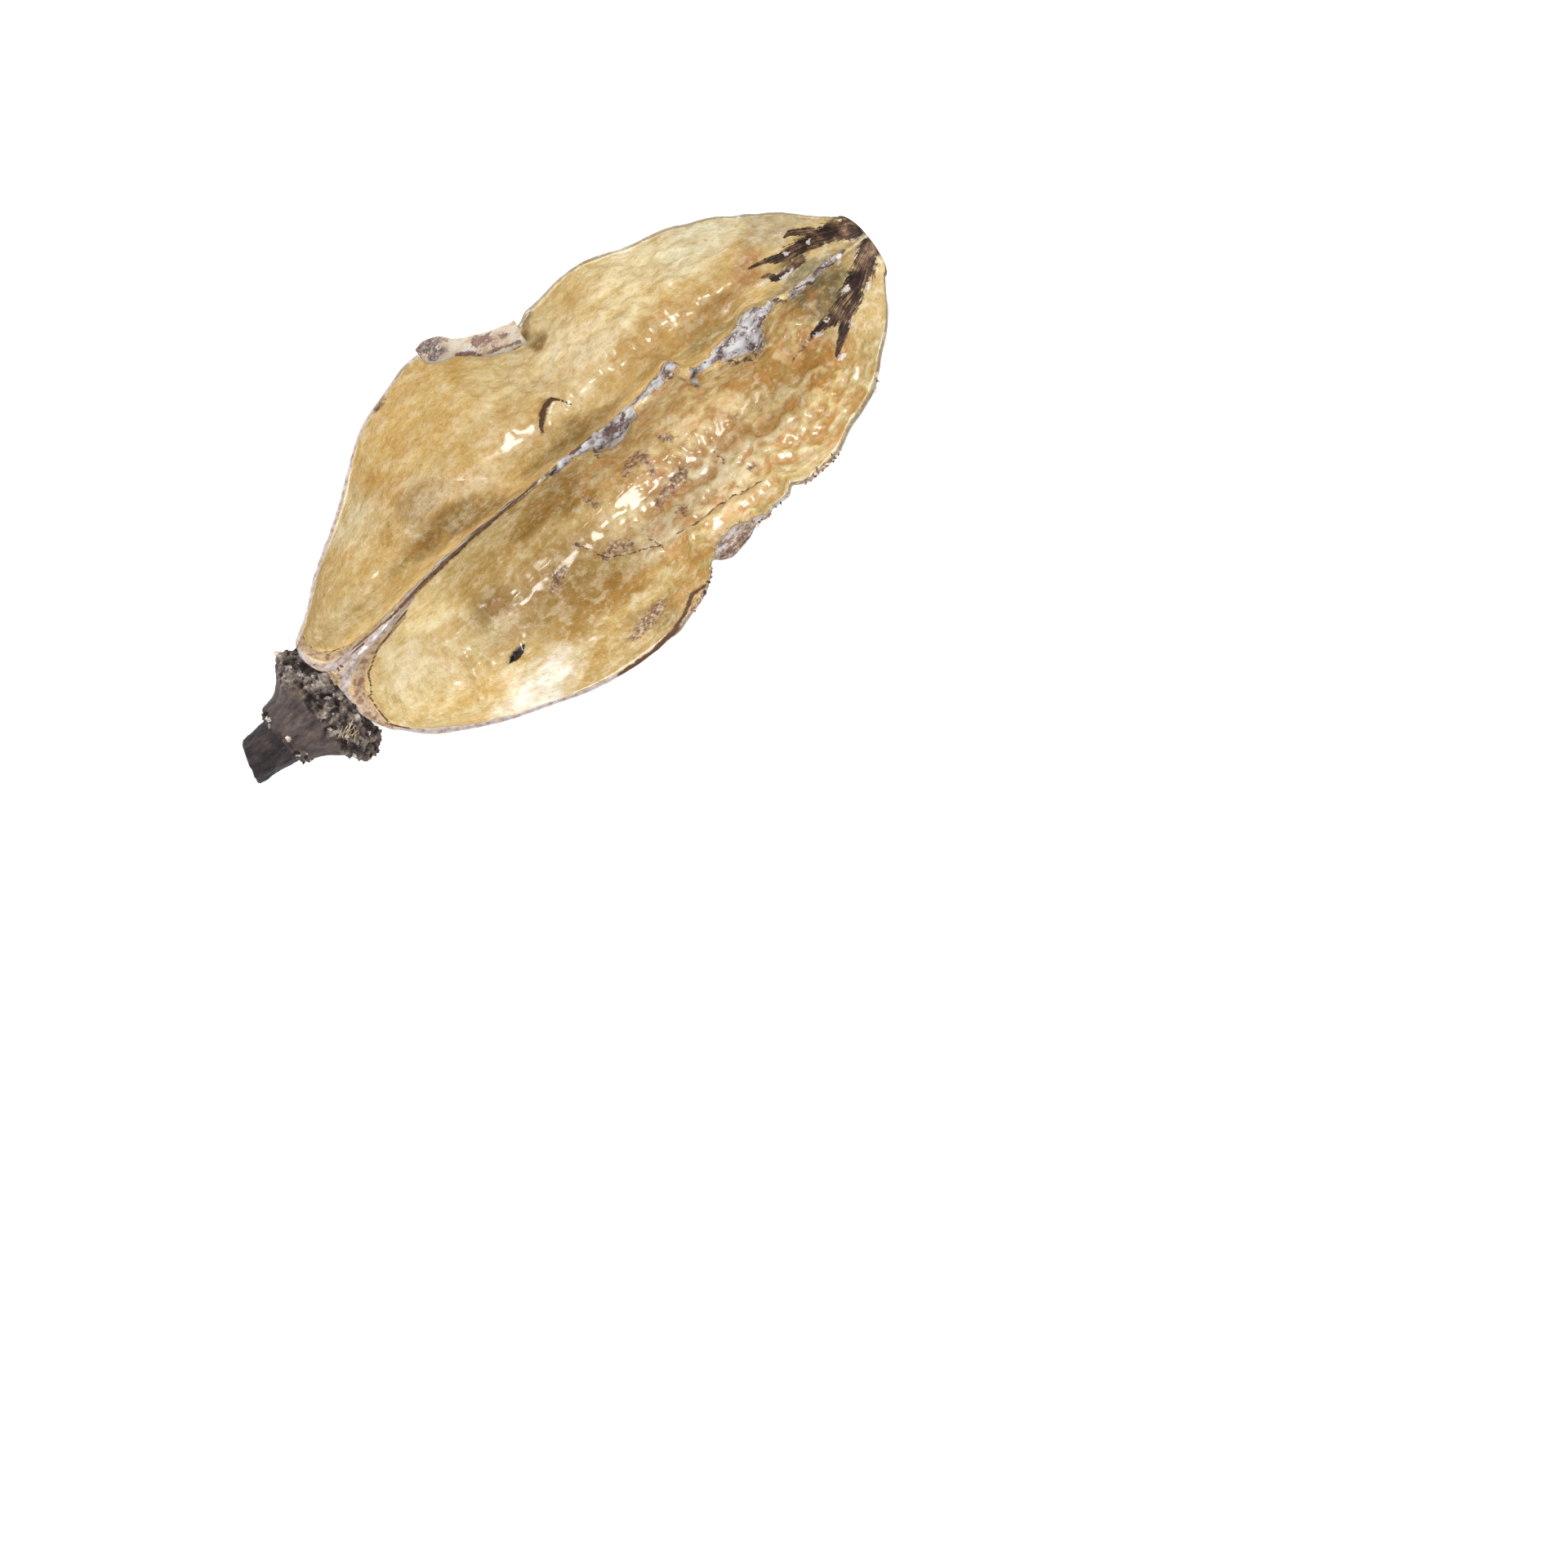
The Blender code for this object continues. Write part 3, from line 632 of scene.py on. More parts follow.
LEFT_LIP = [(9, 1.75, .2), (5.5, 1.4, .4), (3, 1.3, .6), (2.0, 1.2, .7), (1.05, 1.5, .65),
            (.35, 2.3, .4),
            (-.15, 3.1, .4), (-.35, 3.9, .4), (-.3, 4.9, .4), (.1, 6.0, .35), (1.2, 6.8, .3)]
FOOT_BANDS = [[(10, 0.8, .3), (7, .45, .4), (5, .1, .5), (3.4, -.5, .6), (2.3, -1.5, .7),
               (1.5, -2.9, .7), (1.5, -4.7, .6), (1.9, -6.7, .5), (2.9, -8.2, .5),
               (4.8, -9.5, .45), (7, -10.9, .35)],
              [(1.0, 6.4, .35), (.5, 5.5, .4), (.35, 4.4, .5), (.75, 3.4, .5), (1.5, 2.5, .5),
               (2.7, 2.0, .45), (4.6, 1.85, .4), (8, 2.0, .35), (13, 2.5, .25)]]
BLOTCHES = [[(2.3, -1.6, .3), (2.8, -1.4, .35)], [(1.3, -2.2, .3), (1.8, -2.0, .25)],
            [(1.2, -2.9, .3), (1.4, -3.1, .3)], [(2.2, -3.2, .25), (2.4, -3.0, .25)],
            [(1.0, -4.2, .25), (1.2, -4.5, .35)], [(3.9, 0, .25), (4.3, -.2, .25)]]
FOOT_LINES = [[(10.8, 1.1, .15), (7.8, .45, .2), (5.8, -.05, .2), (4.8, -.6, .22),
               (3.7, -1.25, .24), (3.1, -2.4, .22), (2.3, -3.4, .22), (2.2, -4.7, .2),
               (2.3, -6.7, .2), (3.6, -8.2, .15)],
              [(.95, 5.6, .12), (.85, 4.4, .14), (1.3, 3.4, .14), (2.1, 2.75, .14), (3.4, 2.4, .12)],
              [(4.0, 1.5, .18), (6, 1.55, .2), (7.9, 1.65, .16)], [(2.2, 1.05, .16), (5.3, 1.2, .18)],
              [(1.5, .8, .14), (1.9, 1.1, .14), (2.3, .8, .14), (1.9, .5, .14), (1.5, .8, .14)],
              [(0.5, 0.9, .2), (0.9, 1.2, .2)]]
DULL = [(24, -0.5, 16, 4), (20, 5, 14, 3), (36, 5, 12, 2.5), (22, 8, 8, 5), (26, -8.5, 9, 5),
        (50, 5, 12, 2.5), (63, 0, 6, 3), (22, 15, 10, 4), (50, -1, 9, 4), (57, -5, 6, 5),
        (65, 3.5, 5, 3), (30, -13, 6, 3), (1.5, -4, 4.5, 6), (1.5, 3, 4.5, 4)]
PITH = [[(26, 2.8, .2), (29, 2.85, .3), (33, 2.85, .35), (35.2, 2.95, .3), (36.5, 2.75, .25),
         (38.6, 2.8, .25), (41, 2.75, .3), (43.2, 2.85, .25), (44.6, 3.1, .35), (45.8, 3.4, .45),
         (46.3, 3.3, .3)],
        [(30.2, 2.4, .3), (32.4, 2.45, .3)], [(35.2, 1.8, .45), (36.5, 1.45, .55), (38.0, 1.5, .5),
                                              (39.0, 1.9, .45), (40.2, 2.4, .25)],
        [(47.0, 1.7, .2), (47.0, .8, .3)], [(50.3, 1.5, .7), (53, 1.5, 1.0), (55.2, 1.8, .9)],
        [(47.3, 1.6, .3), (48.6, 1.35, .35), (49.4, 1.35, .4), (50.4, 1.4, .7),
         (51.7, 1.1, .95), (53.0, .7, 1.2), (54.0, .5, 1.25), (54.6, .5, .8)],
        [(53.4, 2.2, .6), (54.6, 2.4, .85), (55.8, 2.3, .7), (56.4, 2.0, .4), (58.4, 2.2, .15)],
        [(59.8, 1.6, .45), (61.2, 1.7, .5), (62.3, 1.8, .2), (63.6, 1.8, .35), (65.2, 1.9, .4),
         (66.6, 2.0, .2)],
        [(8, 1.85, .15), (14, 2.6, .15), (20, 3.0, .15), (26, 3.1, .15)],
        [(33.5, 2.5, .4), (36.4, 2.3, .5), (39.0, 2.5, .45)],
        [(37.8, -14.5, .5), (39.2, -13.9, 1.3), (41.0, -13.7, 1.3), (42.4, -13.6, .7),
         (44.5, -13.9, .35), (47.5, -13.6, .3)]]
DARK_PITH = [[(27, 3.15, .14), (31, 3.2, .14), (35.3, 3.2, .2), (36.4, 2.95, .2)],
             [(33.2, 2.75, .25), (34.0, 2.8, .25)], [(34.9, 3.0, .25), (35.5, 3.0, .25)],
             [(36.8, 2.15, .3), (38.2, 2.05, .4), (39.2, 2.55, .3)],
             [(44.5, 2.9, .18), (45.5, 2.85, .2)], [(58.4, 2.0, .3), (59.2, 1.3, .25)],
             [(50.6, .35, .16), (51.6, -.2, .18), (52.7, -.6, .16)],
             [(51.2, 1.7, .14), (52.0, 1.3, .16), (52.7, 1.9, .14)],
             [(54.0, 2.0, .16), (54.7, 1.4, .18), (55.3, 1.9, .16), (56.3, 1.5, .18)],
             [(49.5, 1.1, .14), (50.8, 1.75, .14)], [(53.0, .4, .14), (53.4, -.6, .16)],
             [(34.8, 1.9, .2), (34.7, 1.0, .15)], [(60.3, 1.9, .15), (62.0, 1.4, .15)],
             [(63.0, 2.0, .12), (65.0, 1.5, .14)], [(38.6, -14.0, .2), (39.6, -14.9, .22)],
             [(40.4, -13.6, .2), (41.0, -14.6, .22), (42.2, -14.6, .18)],
             [(43, -14.5, .2), (48, -14.0, .25)]]


def mask(points, paths, soft=1.0):
    """Deepest stroke at each point, 0 to 1, with the strokes' edge at 0.5."""
    x, y = points[..., 0], points[..., 1]
    deepest = np.max([stroke(x, y, path) for path in paths], axis=0)
    return np.clip(0.5 + 0.5 * deepest / soft, 0, 1)


p = husk_points
px, py = p[..., 0], p[..., 1]
lining = inside | rim
bend = 0.45 * noise(p, 1.1, 14)[..., None] * np.array([1, -1, 0])
left_of_ridge = ramp(py - curve(RIDGE, px), -0.3, 0.3)
tip_stain = np.maximum(mask(p, STAINS[:3]) * left_of_ridge, mask(p, STAINS[3:]) * (1 - left_of_ridge))
outside_stain = mask(p, [[(66.5, 1.6, 3.2), (69, 1.6, 4.5)]])
outside_bark = np.clip(0.5 + 0.9 * (layered(p, (9, 6, 6), 3, 51) - 0.28), 0, 1)
drawn = np.maximum(mask(p, FOOT_LINES + [SEAM, CRESCENT, RIM_LINE]),
                   mask(p + 0.9 * bend, CRACKS, 1.15))
dull = sum(dab(px, py, *spot, core=0.4) for spot in DULL)
gloss = np.clip(1.0 - 0.95 * dull + blistered(px, py), 0, 1)
smudge = dab(px, py, 19, 8.5, 13, 5) + dab(px, py, 30, 5.5, 9, 3.0) + 0.3 * dab(px, py, 22, -6.5, 12, 5)
pith = np.where(lining, mask(p + 0.4 * bend, PITH), 0.0)
pale_rim = rim * np.maximum(ramp(px, 30, 18), 0.3)
husk_marks = {
    "stain": np.where(inside, tip_stain, outside_stain),
    "bark": np.where(lining, mask(p, BARKS), outside_bark),
    "line": np.where(lining, 2 * drawn - 1, 0.0),
    "hole": np.where(py < 0, mask(p, [HOLE]), 0.0),
    "pith": pith,
    "dark_pith": np.where(lining, mask(p + 0.5 * bend, DARK_PITH), 0.0),
    "fleck": np.where(inside, mask(p, FLECKS), 0.0),
    "lip": np.maximum(np.where(lining, mask(p, [RIGHT_LIP, LEFT_LIP]), 0.0), pale_rim),
    "foot_band": np.where(inside, mask(p, FOOT_BANDS), 0.0),
    "smudge": np.where(inside, smudge, 0.0),
    "blotches": np.where(inside, mask(p, BLOTCHES), 0.0),
    "gloss": np.where(inside, gloss, 0.5),
    "loose": pith * ramp(px, 34, 36) * ramp(px, 68, 64) * inside * (0.2 + ramp(px, 46, 50)),
    "flaky": rim * (mask(p, BARKS[:2]) > 0.4)}
print("marks:", {name: int((value > 0.5).sum()) for name, value in husk_marks.items()})

# %% [markdown]
# ## From grid to mesh
#
# Every piece is handed to Blender the same way: points, faces, surface coordinates and
# attributes. The open ends of a grid are closed with a fan round one point.

# %% Mesh from a grid


def grid_mesh(name, grid, start, end, uv=None, values=None, colours=None):
    """A closed piece from sections; values and colours become attributes on its points."""
    rows, count = grid.shape[:2]
    points = np.concatenate([grid.reshape(-1, 3), [start, end]])
    i, j = np.meshgrid(np.arange(rows - 1), np.arange(count), indexing="ij")
    k = (j + 1) % count
    faces = np.stack([i * count + j, i * count + k, (i + 1) * count + k, (i + 1) * count + j], -1)
    faces = faces.reshape(-1, 4).tolist()
    ring, last = np.arange(count), (rows - 1) * count
    faces += [[rows * count, (a + 1) % count, a] for a in ring.tolist()]
    faces += [[rows * count + 1, last + a, last + (a + 1) % count] for a in ring.tolist()]
    mesh = bpy.data.meshes.new(name)
    mesh.from_pydata(to_frame(points).tolist(), [], faces)
    mesh.update()
    if signed_volume(mesh) < 0:
        mesh.flip_normals()
    for poly in mesh.polygons:
        poly.use_smooth = True
    for key, value in (values or {}).items():
        layer = mesh.attributes.new(key, "FLOAT", "POINT")
        flat = np.append(np.asarray(value, float).reshape(-1), [value[0, 0], value[-1, 0]])
        layer.data.foreach_set("value", flat.astype(np.float32))
    for key, value in (colours or {}).items():
        layer = mesh.attributes.new(key, "FLOAT_COLOR", "POINT")
        flat = np.concatenate([value.reshape(-1, 3), [value[0, 0], value[-1, 0]]])
        flat = np.concatenate([flat, np.ones((len(flat), 1))], 1)
        layer.data.foreach_set("color", flat.astype(np.float32).reshape(-1))
    if uv is not None:
        flat = np.concatenate([uv.reshape(-1, 2), [uv[0, 0], uv[-1, 0]]])
        loops = np.zeros(len(mesh.loops), int)
        mesh.loops.foreach_get("vertex_index", loops)
        mesh.uv_layers.new(name="fibre").data.foreach_set(
            "uv", flat[loops].astype(np.float32).reshape(-1))
    print(name, len(mesh.polygons), "faces")
    return placed(name, mesh)


def signed_volume(mesh):
    """Volume enclosed by the faces; negative when they point inward."""
    mesh.calc_loop_triangles()
    co = np.zeros(len(mesh.vertices) * 3)
    mesh.vertices.foreach_get("co", co)
    co = co.reshape(-1, 3)
    tri = np.zeros(len(mesh.loop_triangles) * 3, int)
    mesh.loop_triangles.foreach_get("vertices", tri)
    a, b, c = (co[tri.reshape(-1, 3)[:, k]] for k in range(3))
    return float((a * np.cross(b, c)).sum() / 6)


# %% The husk as a mesh
fibre = np.stack([husk_points[..., 0], husk_share * 34.0], -1)
foot_middle = (0.6, float(husk_points[0, :, 1].mean()), 5.0)
husk = grid_mesh("husk", husk_shaped, foot_middle, TIP, uv=fibre,
                 values=husk_marks, colours={"tone": tone})

# %% [markdown]
# ## Building materials in code
#
# A material is a small graph. These helpers add a node, set its inputs and link it in one line,
# so that each recipe below reads from its pattern to its shader.

# %% Helpers for material graphs


class Recipe:
    """A material under construction. Its sizes and heights are in millimetres."""

    def __init__(self, name):
        self.material = bpy.data.materials.new(name)
        self.material.use_nodes = True
        self.tree = self.material.node_tree
        self.shader = self.tree.nodes["Principled BSDF"]
        self.place = self.node("ShaderNodeTexCoord").outputs["Object"]

    def node(self, kind, **settings):
        made = self.tree.nodes.new(kind)
        for key, value in settings.items():
            setattr(made, key, value)
        return made

    def join(self, source, target):
        """Links a socket, or sets a plain value."""
        if hasattr(source, "is_output"):
            self.tree.links.new(source, target)
        else:
            target.default_value = source

    def noise(self, size, detail, rough, stretch=(1, 1, 1), along=None, twist=0.0):
        """Noise with bumps of this size, in space or along surface coordinates."""
        unit = 1.0 if along else MM
        mapping = self.node("ShaderNodeMapping")
        mapping.inputs["Scale"].default_value = [1 / (size * unit * s) for s in stretch]
        self.join(along or self.place, mapping.inputs["Vector"])
        n = self.node("ShaderNodeTexNoise")
        n.inputs["Scale"].default_value = 1.0
        n.inputs["Detail"].default_value = detail
        n.inputs["Roughness"].default_value = rough
        n.inputs["Distortion"].default_value = twist
        self.join(mapping.outputs[0], n.inputs["Vector"])
        return n.outputs["Fac"]

    def maths(self, how, a, b=0.0, clamp=False):
        n = self.node("ShaderNodeMath", operation=how, use_clamp=clamp)
        self.join(a, n.inputs[0])
        self.join(b, n.inputs[1])
        return n.outputs[0]

    def add(self, a, b, clamp=False):
        return self.maths("ADD", a, b, clamp)

    def times(self, a, b):
        return self.maths("MULTIPLY", a, b)

    def reach(self, a):
        """Distance from zero."""
        return self.maths("ABSOLUTE", a)

    def span(self, value, low, high, to_low=0.0, to_high=1.0):
        """The value's range low to high, spread over another range."""
        n = self.node("ShaderNodeMapRange", interpolation_type="SMOOTHSTEP")
        for key, v in zip(("From Min", "From Max", "To Min", "To Max"),
                          (low, high, to_low, to_high)):
            n.inputs[key].default_value = v
        self.join(value, n.inputs["Value"])
        return n.outputs["Result"]

    def mix(self, amount, a, b, how="MIX"):
        n = self.node("ShaderNodeMix", data_type="RGBA", blend_type=how)
        colours = [s for s in n.inputs if s.type == "RGBA"]
        self.join(amount, n.inputs["Factor"])
        for value, socket in zip((a, b), colours):
            self.join(value if hasattr(value, "is_output") else (*value, 1.0), socket)
        return [s for s in n.outputs if s.type == "RGBA"][0]

    def colours(self, value, *stops):
        """A colour ramp; stops are (place, (r, g, b) on screen)."""
        n = self.node("ShaderNodeValToRGB")
        while len(n.color_ramp.elements) < len(stops):
            n.color_ramp.elements.new(0.5)
        for element, (place, colour) in zip(n.color_ramp.elements, stops):
            element.position = place
            element.color = (*light(*colour), 1.0)
        self.join(value, n.inputs["Fac"])
        return n.outputs["Color"]

    def attribute(self, name):
        n = self.node("ShaderNodeAttribute", attribute_name=name)
        return n.outputs["Color"] if name == "tone" else n.outputs["Fac"]

    def bump(self, height, distance, normal=None):
        n = self.node("ShaderNodeBump")
        n.inputs["Distance"].default_value = distance * MM
        self.join(height, n.inputs["Height"])
        if normal is not None:
            self.join(normal, n.inputs["Normal"])
        return n.outputs["Normal"]

    def finish(self, colour, rough, normal, shine=0.5):
        self.shader.inputs["Specular IOR Level"].default_value = shine
        self.join(colour, self.shader.inputs["Base Color"])
        self.join(rough, self.shader.inputs["Roughness"])
        self.join(normal, self.shader.inputs["Normal"])
        return self.material


print("recipes ready")

# %% [markdown]
# ## The parchment of the husk
#
# The lining is glossy, like varnished parchment: a moderately rough base with a thin clear coat.
# Long fibres, drawn in the surface coordinates, tint it. The masks are torn by noise before they
# are used, so that a stain ends in fingers and flecks. Where a mark covers the lining it is matt:
# the coat goes and the base gets rougher.

# %% Husk material


def husk_material():
    r = Recipe("husk_parchment")
    uv = r.node("ShaderNodeUVMap", uv_map="fibre").outputs["UV"]
    broad = r.noise(3.4, 5, 0.6, (1.3, 1, 1))
    blotch = r.noise(1.6, 5, 0.6, (1.2, 1, 1))
    mottle = r.noise(0.6, 4, 0.6)
    fine = r.noise(0.32, 3, 0.6)
    fibres = r.noise(1.0, 4, 0.6, (3.0, 0.30, 1), uv)
    # mottling over the broad tones, with their painted shade and highlight
    colour = r.attribute("tone")
    for pattern, start, end, amount, tint, how in (
            (broad, 0.52, 0.60, 0.7, (246, 238, 216), "MULTIPLY"),
            (blotch, 0.53, 0.60, 0.7, (244, 237, 218), "MULTIPLY"),
            (blotch, 0.46, 0.41, 0.13, (255, 250, 228), "MIX"),
            (mottle, 0.54, 0.64, 0.8, (238, 230, 212), "MULTIPLY"),
            (mottle, 0.45, 0.38, 0.11, (255, 250, 236), "MIX"),
            (fibres, 0.50, 0.64, 0.3, (236, 228, 206), "MULTIPLY")):
        colour = r.mix(r.span(pattern, start, end, 0.0, amount), colour, light(*tint), how)
    tear = r.add(r.noise(0.6, 5, 0.75), -0.5)
    streak = r.add(r.noise(1.0, 4, 0.7, (4.0, 0.35, 1), uv), -0.5)

    def torn(name, bite, streaky, low, high):
        """A mask with its edge bitten by noise and drawn out along the fibres."""
        edge = r.add(r.attribute(name), r.times(tear, bite))
        edge = r.add(edge, r.times(streak, streaky))
        return r.span(edge, low, high)

    # fine brown veins and specks in dirty patches
    veins = r.span(r.reach(r.add(r.noise(1.1, 5, 0.65, twist=0.4), -0.5)), 0.016, 0.0)
    patchy = r.span(r.add(blotch, r.times(r.attribute("smudge"), 0.35)), 0.58, 0.80)
    veined = r.times(veins, r.times(patchy, 0.55))
    colour = r.mix(veined, colour, light(112, 82, 60))
    specks = r.span(fine, 0.64, 0.72)
    colour = r.mix(r.times(specks, r.times(patchy, 0.6)), colour, light(128, 96, 70))
    # bands and lips of the foot
    band_colour = r.colours(mottle, (0.38, (112, 84, 62)), (0.47, (154, 130, 102)),
                            (0.6, (172, 150, 122)))
    colour = r.mix(torn("foot_band", 0.5, 0.1, 0.5, 0.66), colour, band_colour)
    lip_colour = r.colours(mottle, (0.34, (126, 106, 92)), (0.46, (152, 137, 129)),
                           (0.60, (170, 160, 159)))
    colour = r.mix(torn("lip", 0.35, 0.1, 0.5, 0.72), colour, lip_colour)
    colour = r.mix(torn("blotches", 1.2, 0.2, 0.5, 0.8), colour, light(130, 92, 72))
    # pith, with a brown line where it meets the lining
    strands = r.noise(1.1, 5, 0.65, (1.5, 1, 1))
    pith_colour = r.colours(strands, (0.36, (62, 50, 48)), (0.43, (104, 93, 90)),
                            (0.50, (146, 140, 139)), (0.60, (178, 175, 177)))
    pithy = torn("pith", 0.7, 0.2, 0.52, 0.62)
    colour = r.mix(pithy, colour, pith_colour)
    rim_of_pith = r.span(r.reach(r.add(torn("pith", 0.7, 0.2, 0.38, 0.62), -0.5)),
                         0.42, 0.1, 0.0, 0.6)
    colour = r.mix(rim_of_pith, colour, light(104, 80, 66))
    colour = r.mix(torn("dark_pith", 2.4, 0.5, 0.50, 0.86), colour, light(80, 60, 54))
    # bark, stain, flecks, lines and the hole
    bark_colour = r.colours(r.noise(0.5, 5, 0.7), (0.40, (80, 58, 50)), (0.47, (112, 86, 72)),
                            (0.54, (150, 124, 102)), (0.62, (196, 180, 162)))
    barked = r.times(torn("bark", 2.4, 0.3, 0.44, 0.86), 0.85)
    colour = r.mix(barked, colour, bark_colour)
    marbled = r.times(r.add(r.noise(1.0, 6, 0.75, (2.6, 0.28, 1), uv), blotch), 0.5)
    stain_colour = r.colours(marbled, (0.42, (34, 24, 21)), (0.49, (58, 42, 35)),
                             (0.54, (100, 76, 58)), (0.60, (158, 132, 104)))
    stained = torn("stain", 0.9, 0.9, 0.5, 0.62)
    colour = r.mix(stained, colour, stain_colour)
    colour = r.mix(torn("fleck", 3.0, 0.6, 0.5, 0.76), colour, light(196, 188, 182))
    lined = torn("line", 1.2, 0.3, 0.36, 0.70)
    colour = r.mix(lined, colour, light(84, 58, 44))
    colour = r.mix(r.span(r.attribute("hole"), 0.45, 0.6), colour, light(14, 8, 6))
    # roughness, small bumps and the clear coat
    matt = r.add(r.add(r.add(barked, stained), lined), pithy, True)
    dull = r.span(r.attribute("gloss"), 0.0, 1.0, 0.62, 0.36)
    rough = r.add(dull, r.times(matt, 0.35), True)
    normal = r.bump(blotch, 0.3)
    normal = r.bump(mottle, 0.18, normal)
    normal = r.bump(fine, 0.05, normal)
    normal = r.bump(stained, -0.08, normal)
    varnish = r.times(r.span(matt, 0.0, 1.0, 0.9, 0.0), r.attribute("gloss"))
    r.join(varnish, r.shader.inputs["Coat Weight"])
    r.shader.inputs["Coat Roughness"].default_value = 0.14
    return r.finish(colour, rough, normal, 0.25)


husk.data.materials.append(husk_material())
print("husk dressed")

# %% [markdown]
# ## The calyx
#
# The calyx is a woody cone, smooth and grey near the stalk and crumbling where it grips the
# foot of the husk. It is a grid of rings too, with its upper and lower outline given apart,
# because it is lopsided, and with noise that grows towards the ragged end.

# %% Calyx shape
CALYX_UP = [(-7.4, 1.7), (-6.6, 2.6), (-5, 3.3), (-4, 4.1), (-3.2, 5.2), (-2.4, 5.8), (-1.6, 5.9),
            (-0.6, 5.5), (0.6, 4.9)]
CALYX_DOWN = [(-7.4, -3.3), (-6.4, -4.0), (-5, -4.8), (-3.5, -5.9), (-2.5, -6.9), (-1.5, -7.6),
              (-0.7, -7.5), (0.0, -7.2), (0.6, -6.8)]
CALYX_HALF = [(-7.4, 2.4), (-6.4, 3.0), (-5.0, 3.4), (-3.6, 3.9), (-1.8, 4.2), (-0.4, 4.0),
              (0.6, 3.6)]
CALYX_MIDDLE = [(-7.4, 5.3), (-5, 5.0), (-1.4, 4.7), (0.6, 4.6)]


def rings(x, up, down, half, middle, around):
    """Grid of oval rings between an upper and a lower outline."""
    t = np.linspace(0, 2 * np.pi, around, endpoint=False)[None, :]
    top, bottom = curve(up, x)[:, None], curve(down, x)[:, None]
    y = (top + bottom) / 2 + (top - bottom) / 2 * np.cos(t)
    z = curve(middle, x)[:, None] + curve(half, x)[:, None] * np.sin(t)
    return np.stack([np.broadcast_to(x[:, None], y.shape), y, z], -1)


calyx_x = np.linspace(-7.4, 0.6, 120)
calyx_grid = rings(calyx_x, CALYX_UP, CALYX_DOWN, CALYX_HALF, CALYX_MIDDLE, 260)
calyx_out = normals(calyx_grid)
gx, gy = calyx_grid[..., 0], calyx_grid[..., 1]
wild = ramp(gx + 0.8 * noise(calyx_grid, 1.6, 61), -4.2, -2.0)
lumps = layered(calyx_grid, 1.5, 4, 62)
grit = layered(calyx_grid, 0.55, 3, 64)
calyx_height = 0.16 * layered(calyx_grid, (2.2, 1.4, 1.4), 3, 63)
calyx_height += wild * (0.75 * lumps + 0.4 * grit)
calyx_height += 0.2 * ramp(np.abs(gx + 6.8), 0.7, 0.1) * (0.7 + 1.6 * grit)
calyx_height *= ramp(np.abs(gx + 3.4), 4.0, 3.6)
calyx_shaped = calyx_grid + calyx_out * calyx_height[..., None]
calyx_shaped[..., 2] = np.maximum(calyx_shaped[..., 2], FLOOR + 0.4)
calyx_values = {"wild": wild, "raise": np.clip(0.5 + 0.6 * (lumps + 0.6 * grit), 0, 1),
                "crumbly": np.clip(wild * (0.7 + 0.8 * noise(calyx_grid, 1.3, 65)), 0, 1)
                * ramp(calyx_grid[..., 2], 1.0, 1.6)
                + 0.8 * ramp(np.abs(gx + 6.7), 0.9, 0.4) * (noise(calyx_grid, 1.0, 66) > -0.1),
                "tufted": dab(gx, gy, -1.0, -4.4, 1.5, 1.8) * (calyx_out[..., 2] > 0)}
calyx = grid_mesh("calyx_cone", calyx_shaped, (-7.4, -0.8, 5.3), (0.6, -0.9, 4.6),
                  values=calyx_values)

# %% Calyx material


def calyx_material():
    r = Recipe("calyx_bark")
    grain = r.noise(0.9, 6, 0.65, (2.2, 1, 1))
    fine = r.noise(0.35, 5, 0.7)
    smooth_part = r.colours(grain, (0.3, (48, 40, 39)), (0.5, (78, 68, 66)), (0.7, (108, 96, 88)))
    blend = r.add(r.times(r.attribute("raise"), 0.55), r.times(fine, 0.45))
    rough_part = r.colours(blend, (0.38, (34, 28, 27)), (0.46, (68, 59, 56)),
                           (0.54, (98, 88, 82)), (0.63, (134, 122, 112)),
                           (0.74, (184, 173, 158)))
    edge = r.span(r.add(r.attribute("wild"), r.add(fine, -0.5)), 0.3, 0.6)
    colour = r.mix(edge, smooth_part, rough_part)
    brown = r.span(r.noise(1.6, 4, 0.6), 0.56, 0.68, 0, 0.6)
    colour = r.mix(brown, colour, light(98, 80, 66))
    normal = r.bump(fine, 0.18)
    normal = r.bump(grain, 0.3, normal)
    return r.finish(colour, 0.82, normal, 0.2)


calyx.data.materials.append(calyx_material())
print("calyx dressed")

# %% [markdown]
# ## The stalk
#
# A short stub of stalk, darker than the calyx and broken off on a slant. The last rings shrink
# quickly to make the worn edge of the break, and the slant slides each ring by its y.

# %% Stalk shape and material
STALK_UP = [(-11.2, 1.15), (-11.1, 1.4), (-10.9, 1.55), (-10.4, 1.6), (-8.6, 1.55), (-7.6, 1.6),
            (-7.0, 1.9)]
STALK_DOWN = [(-11.2, -2.6), (-11.1, -2.85), (-10.9, -3.0), (-10.4, -3.05), (-8.6, -3.15),
              (-7.6, -3.4), (-7.0, -3.6)]
STALK_HALF = [(-11.2, 1.7), (-11.1, 1.95), (-10.9, 2.1), (-10.0, 2.2), (-8.3, 2.3), (-7.0, 2.5)]
stalk_x = np.concatenate([np.linspace(-11.2, -10.7, 14, endpoint=False),
                          np.linspace(-10.7, -7.0, 50)])
stalk_grid = rings(stalk_x, STALK_UP, STALK_DOWN, STALK_HALF, [(-12, 5.5), (-7, 5.35)], 128)
slant = ramp(stalk_grid[..., 0], -7.5, -10.5)
stalk_grid[..., 0] += 0.30 * (stalk_grid[..., 1] + 0.8) * slant
stalk_out = normals(stalk_grid)
stalk_height = 0.22 * layered(stalk_grid, (2.0, 0.9, 0.9), 4, 71)
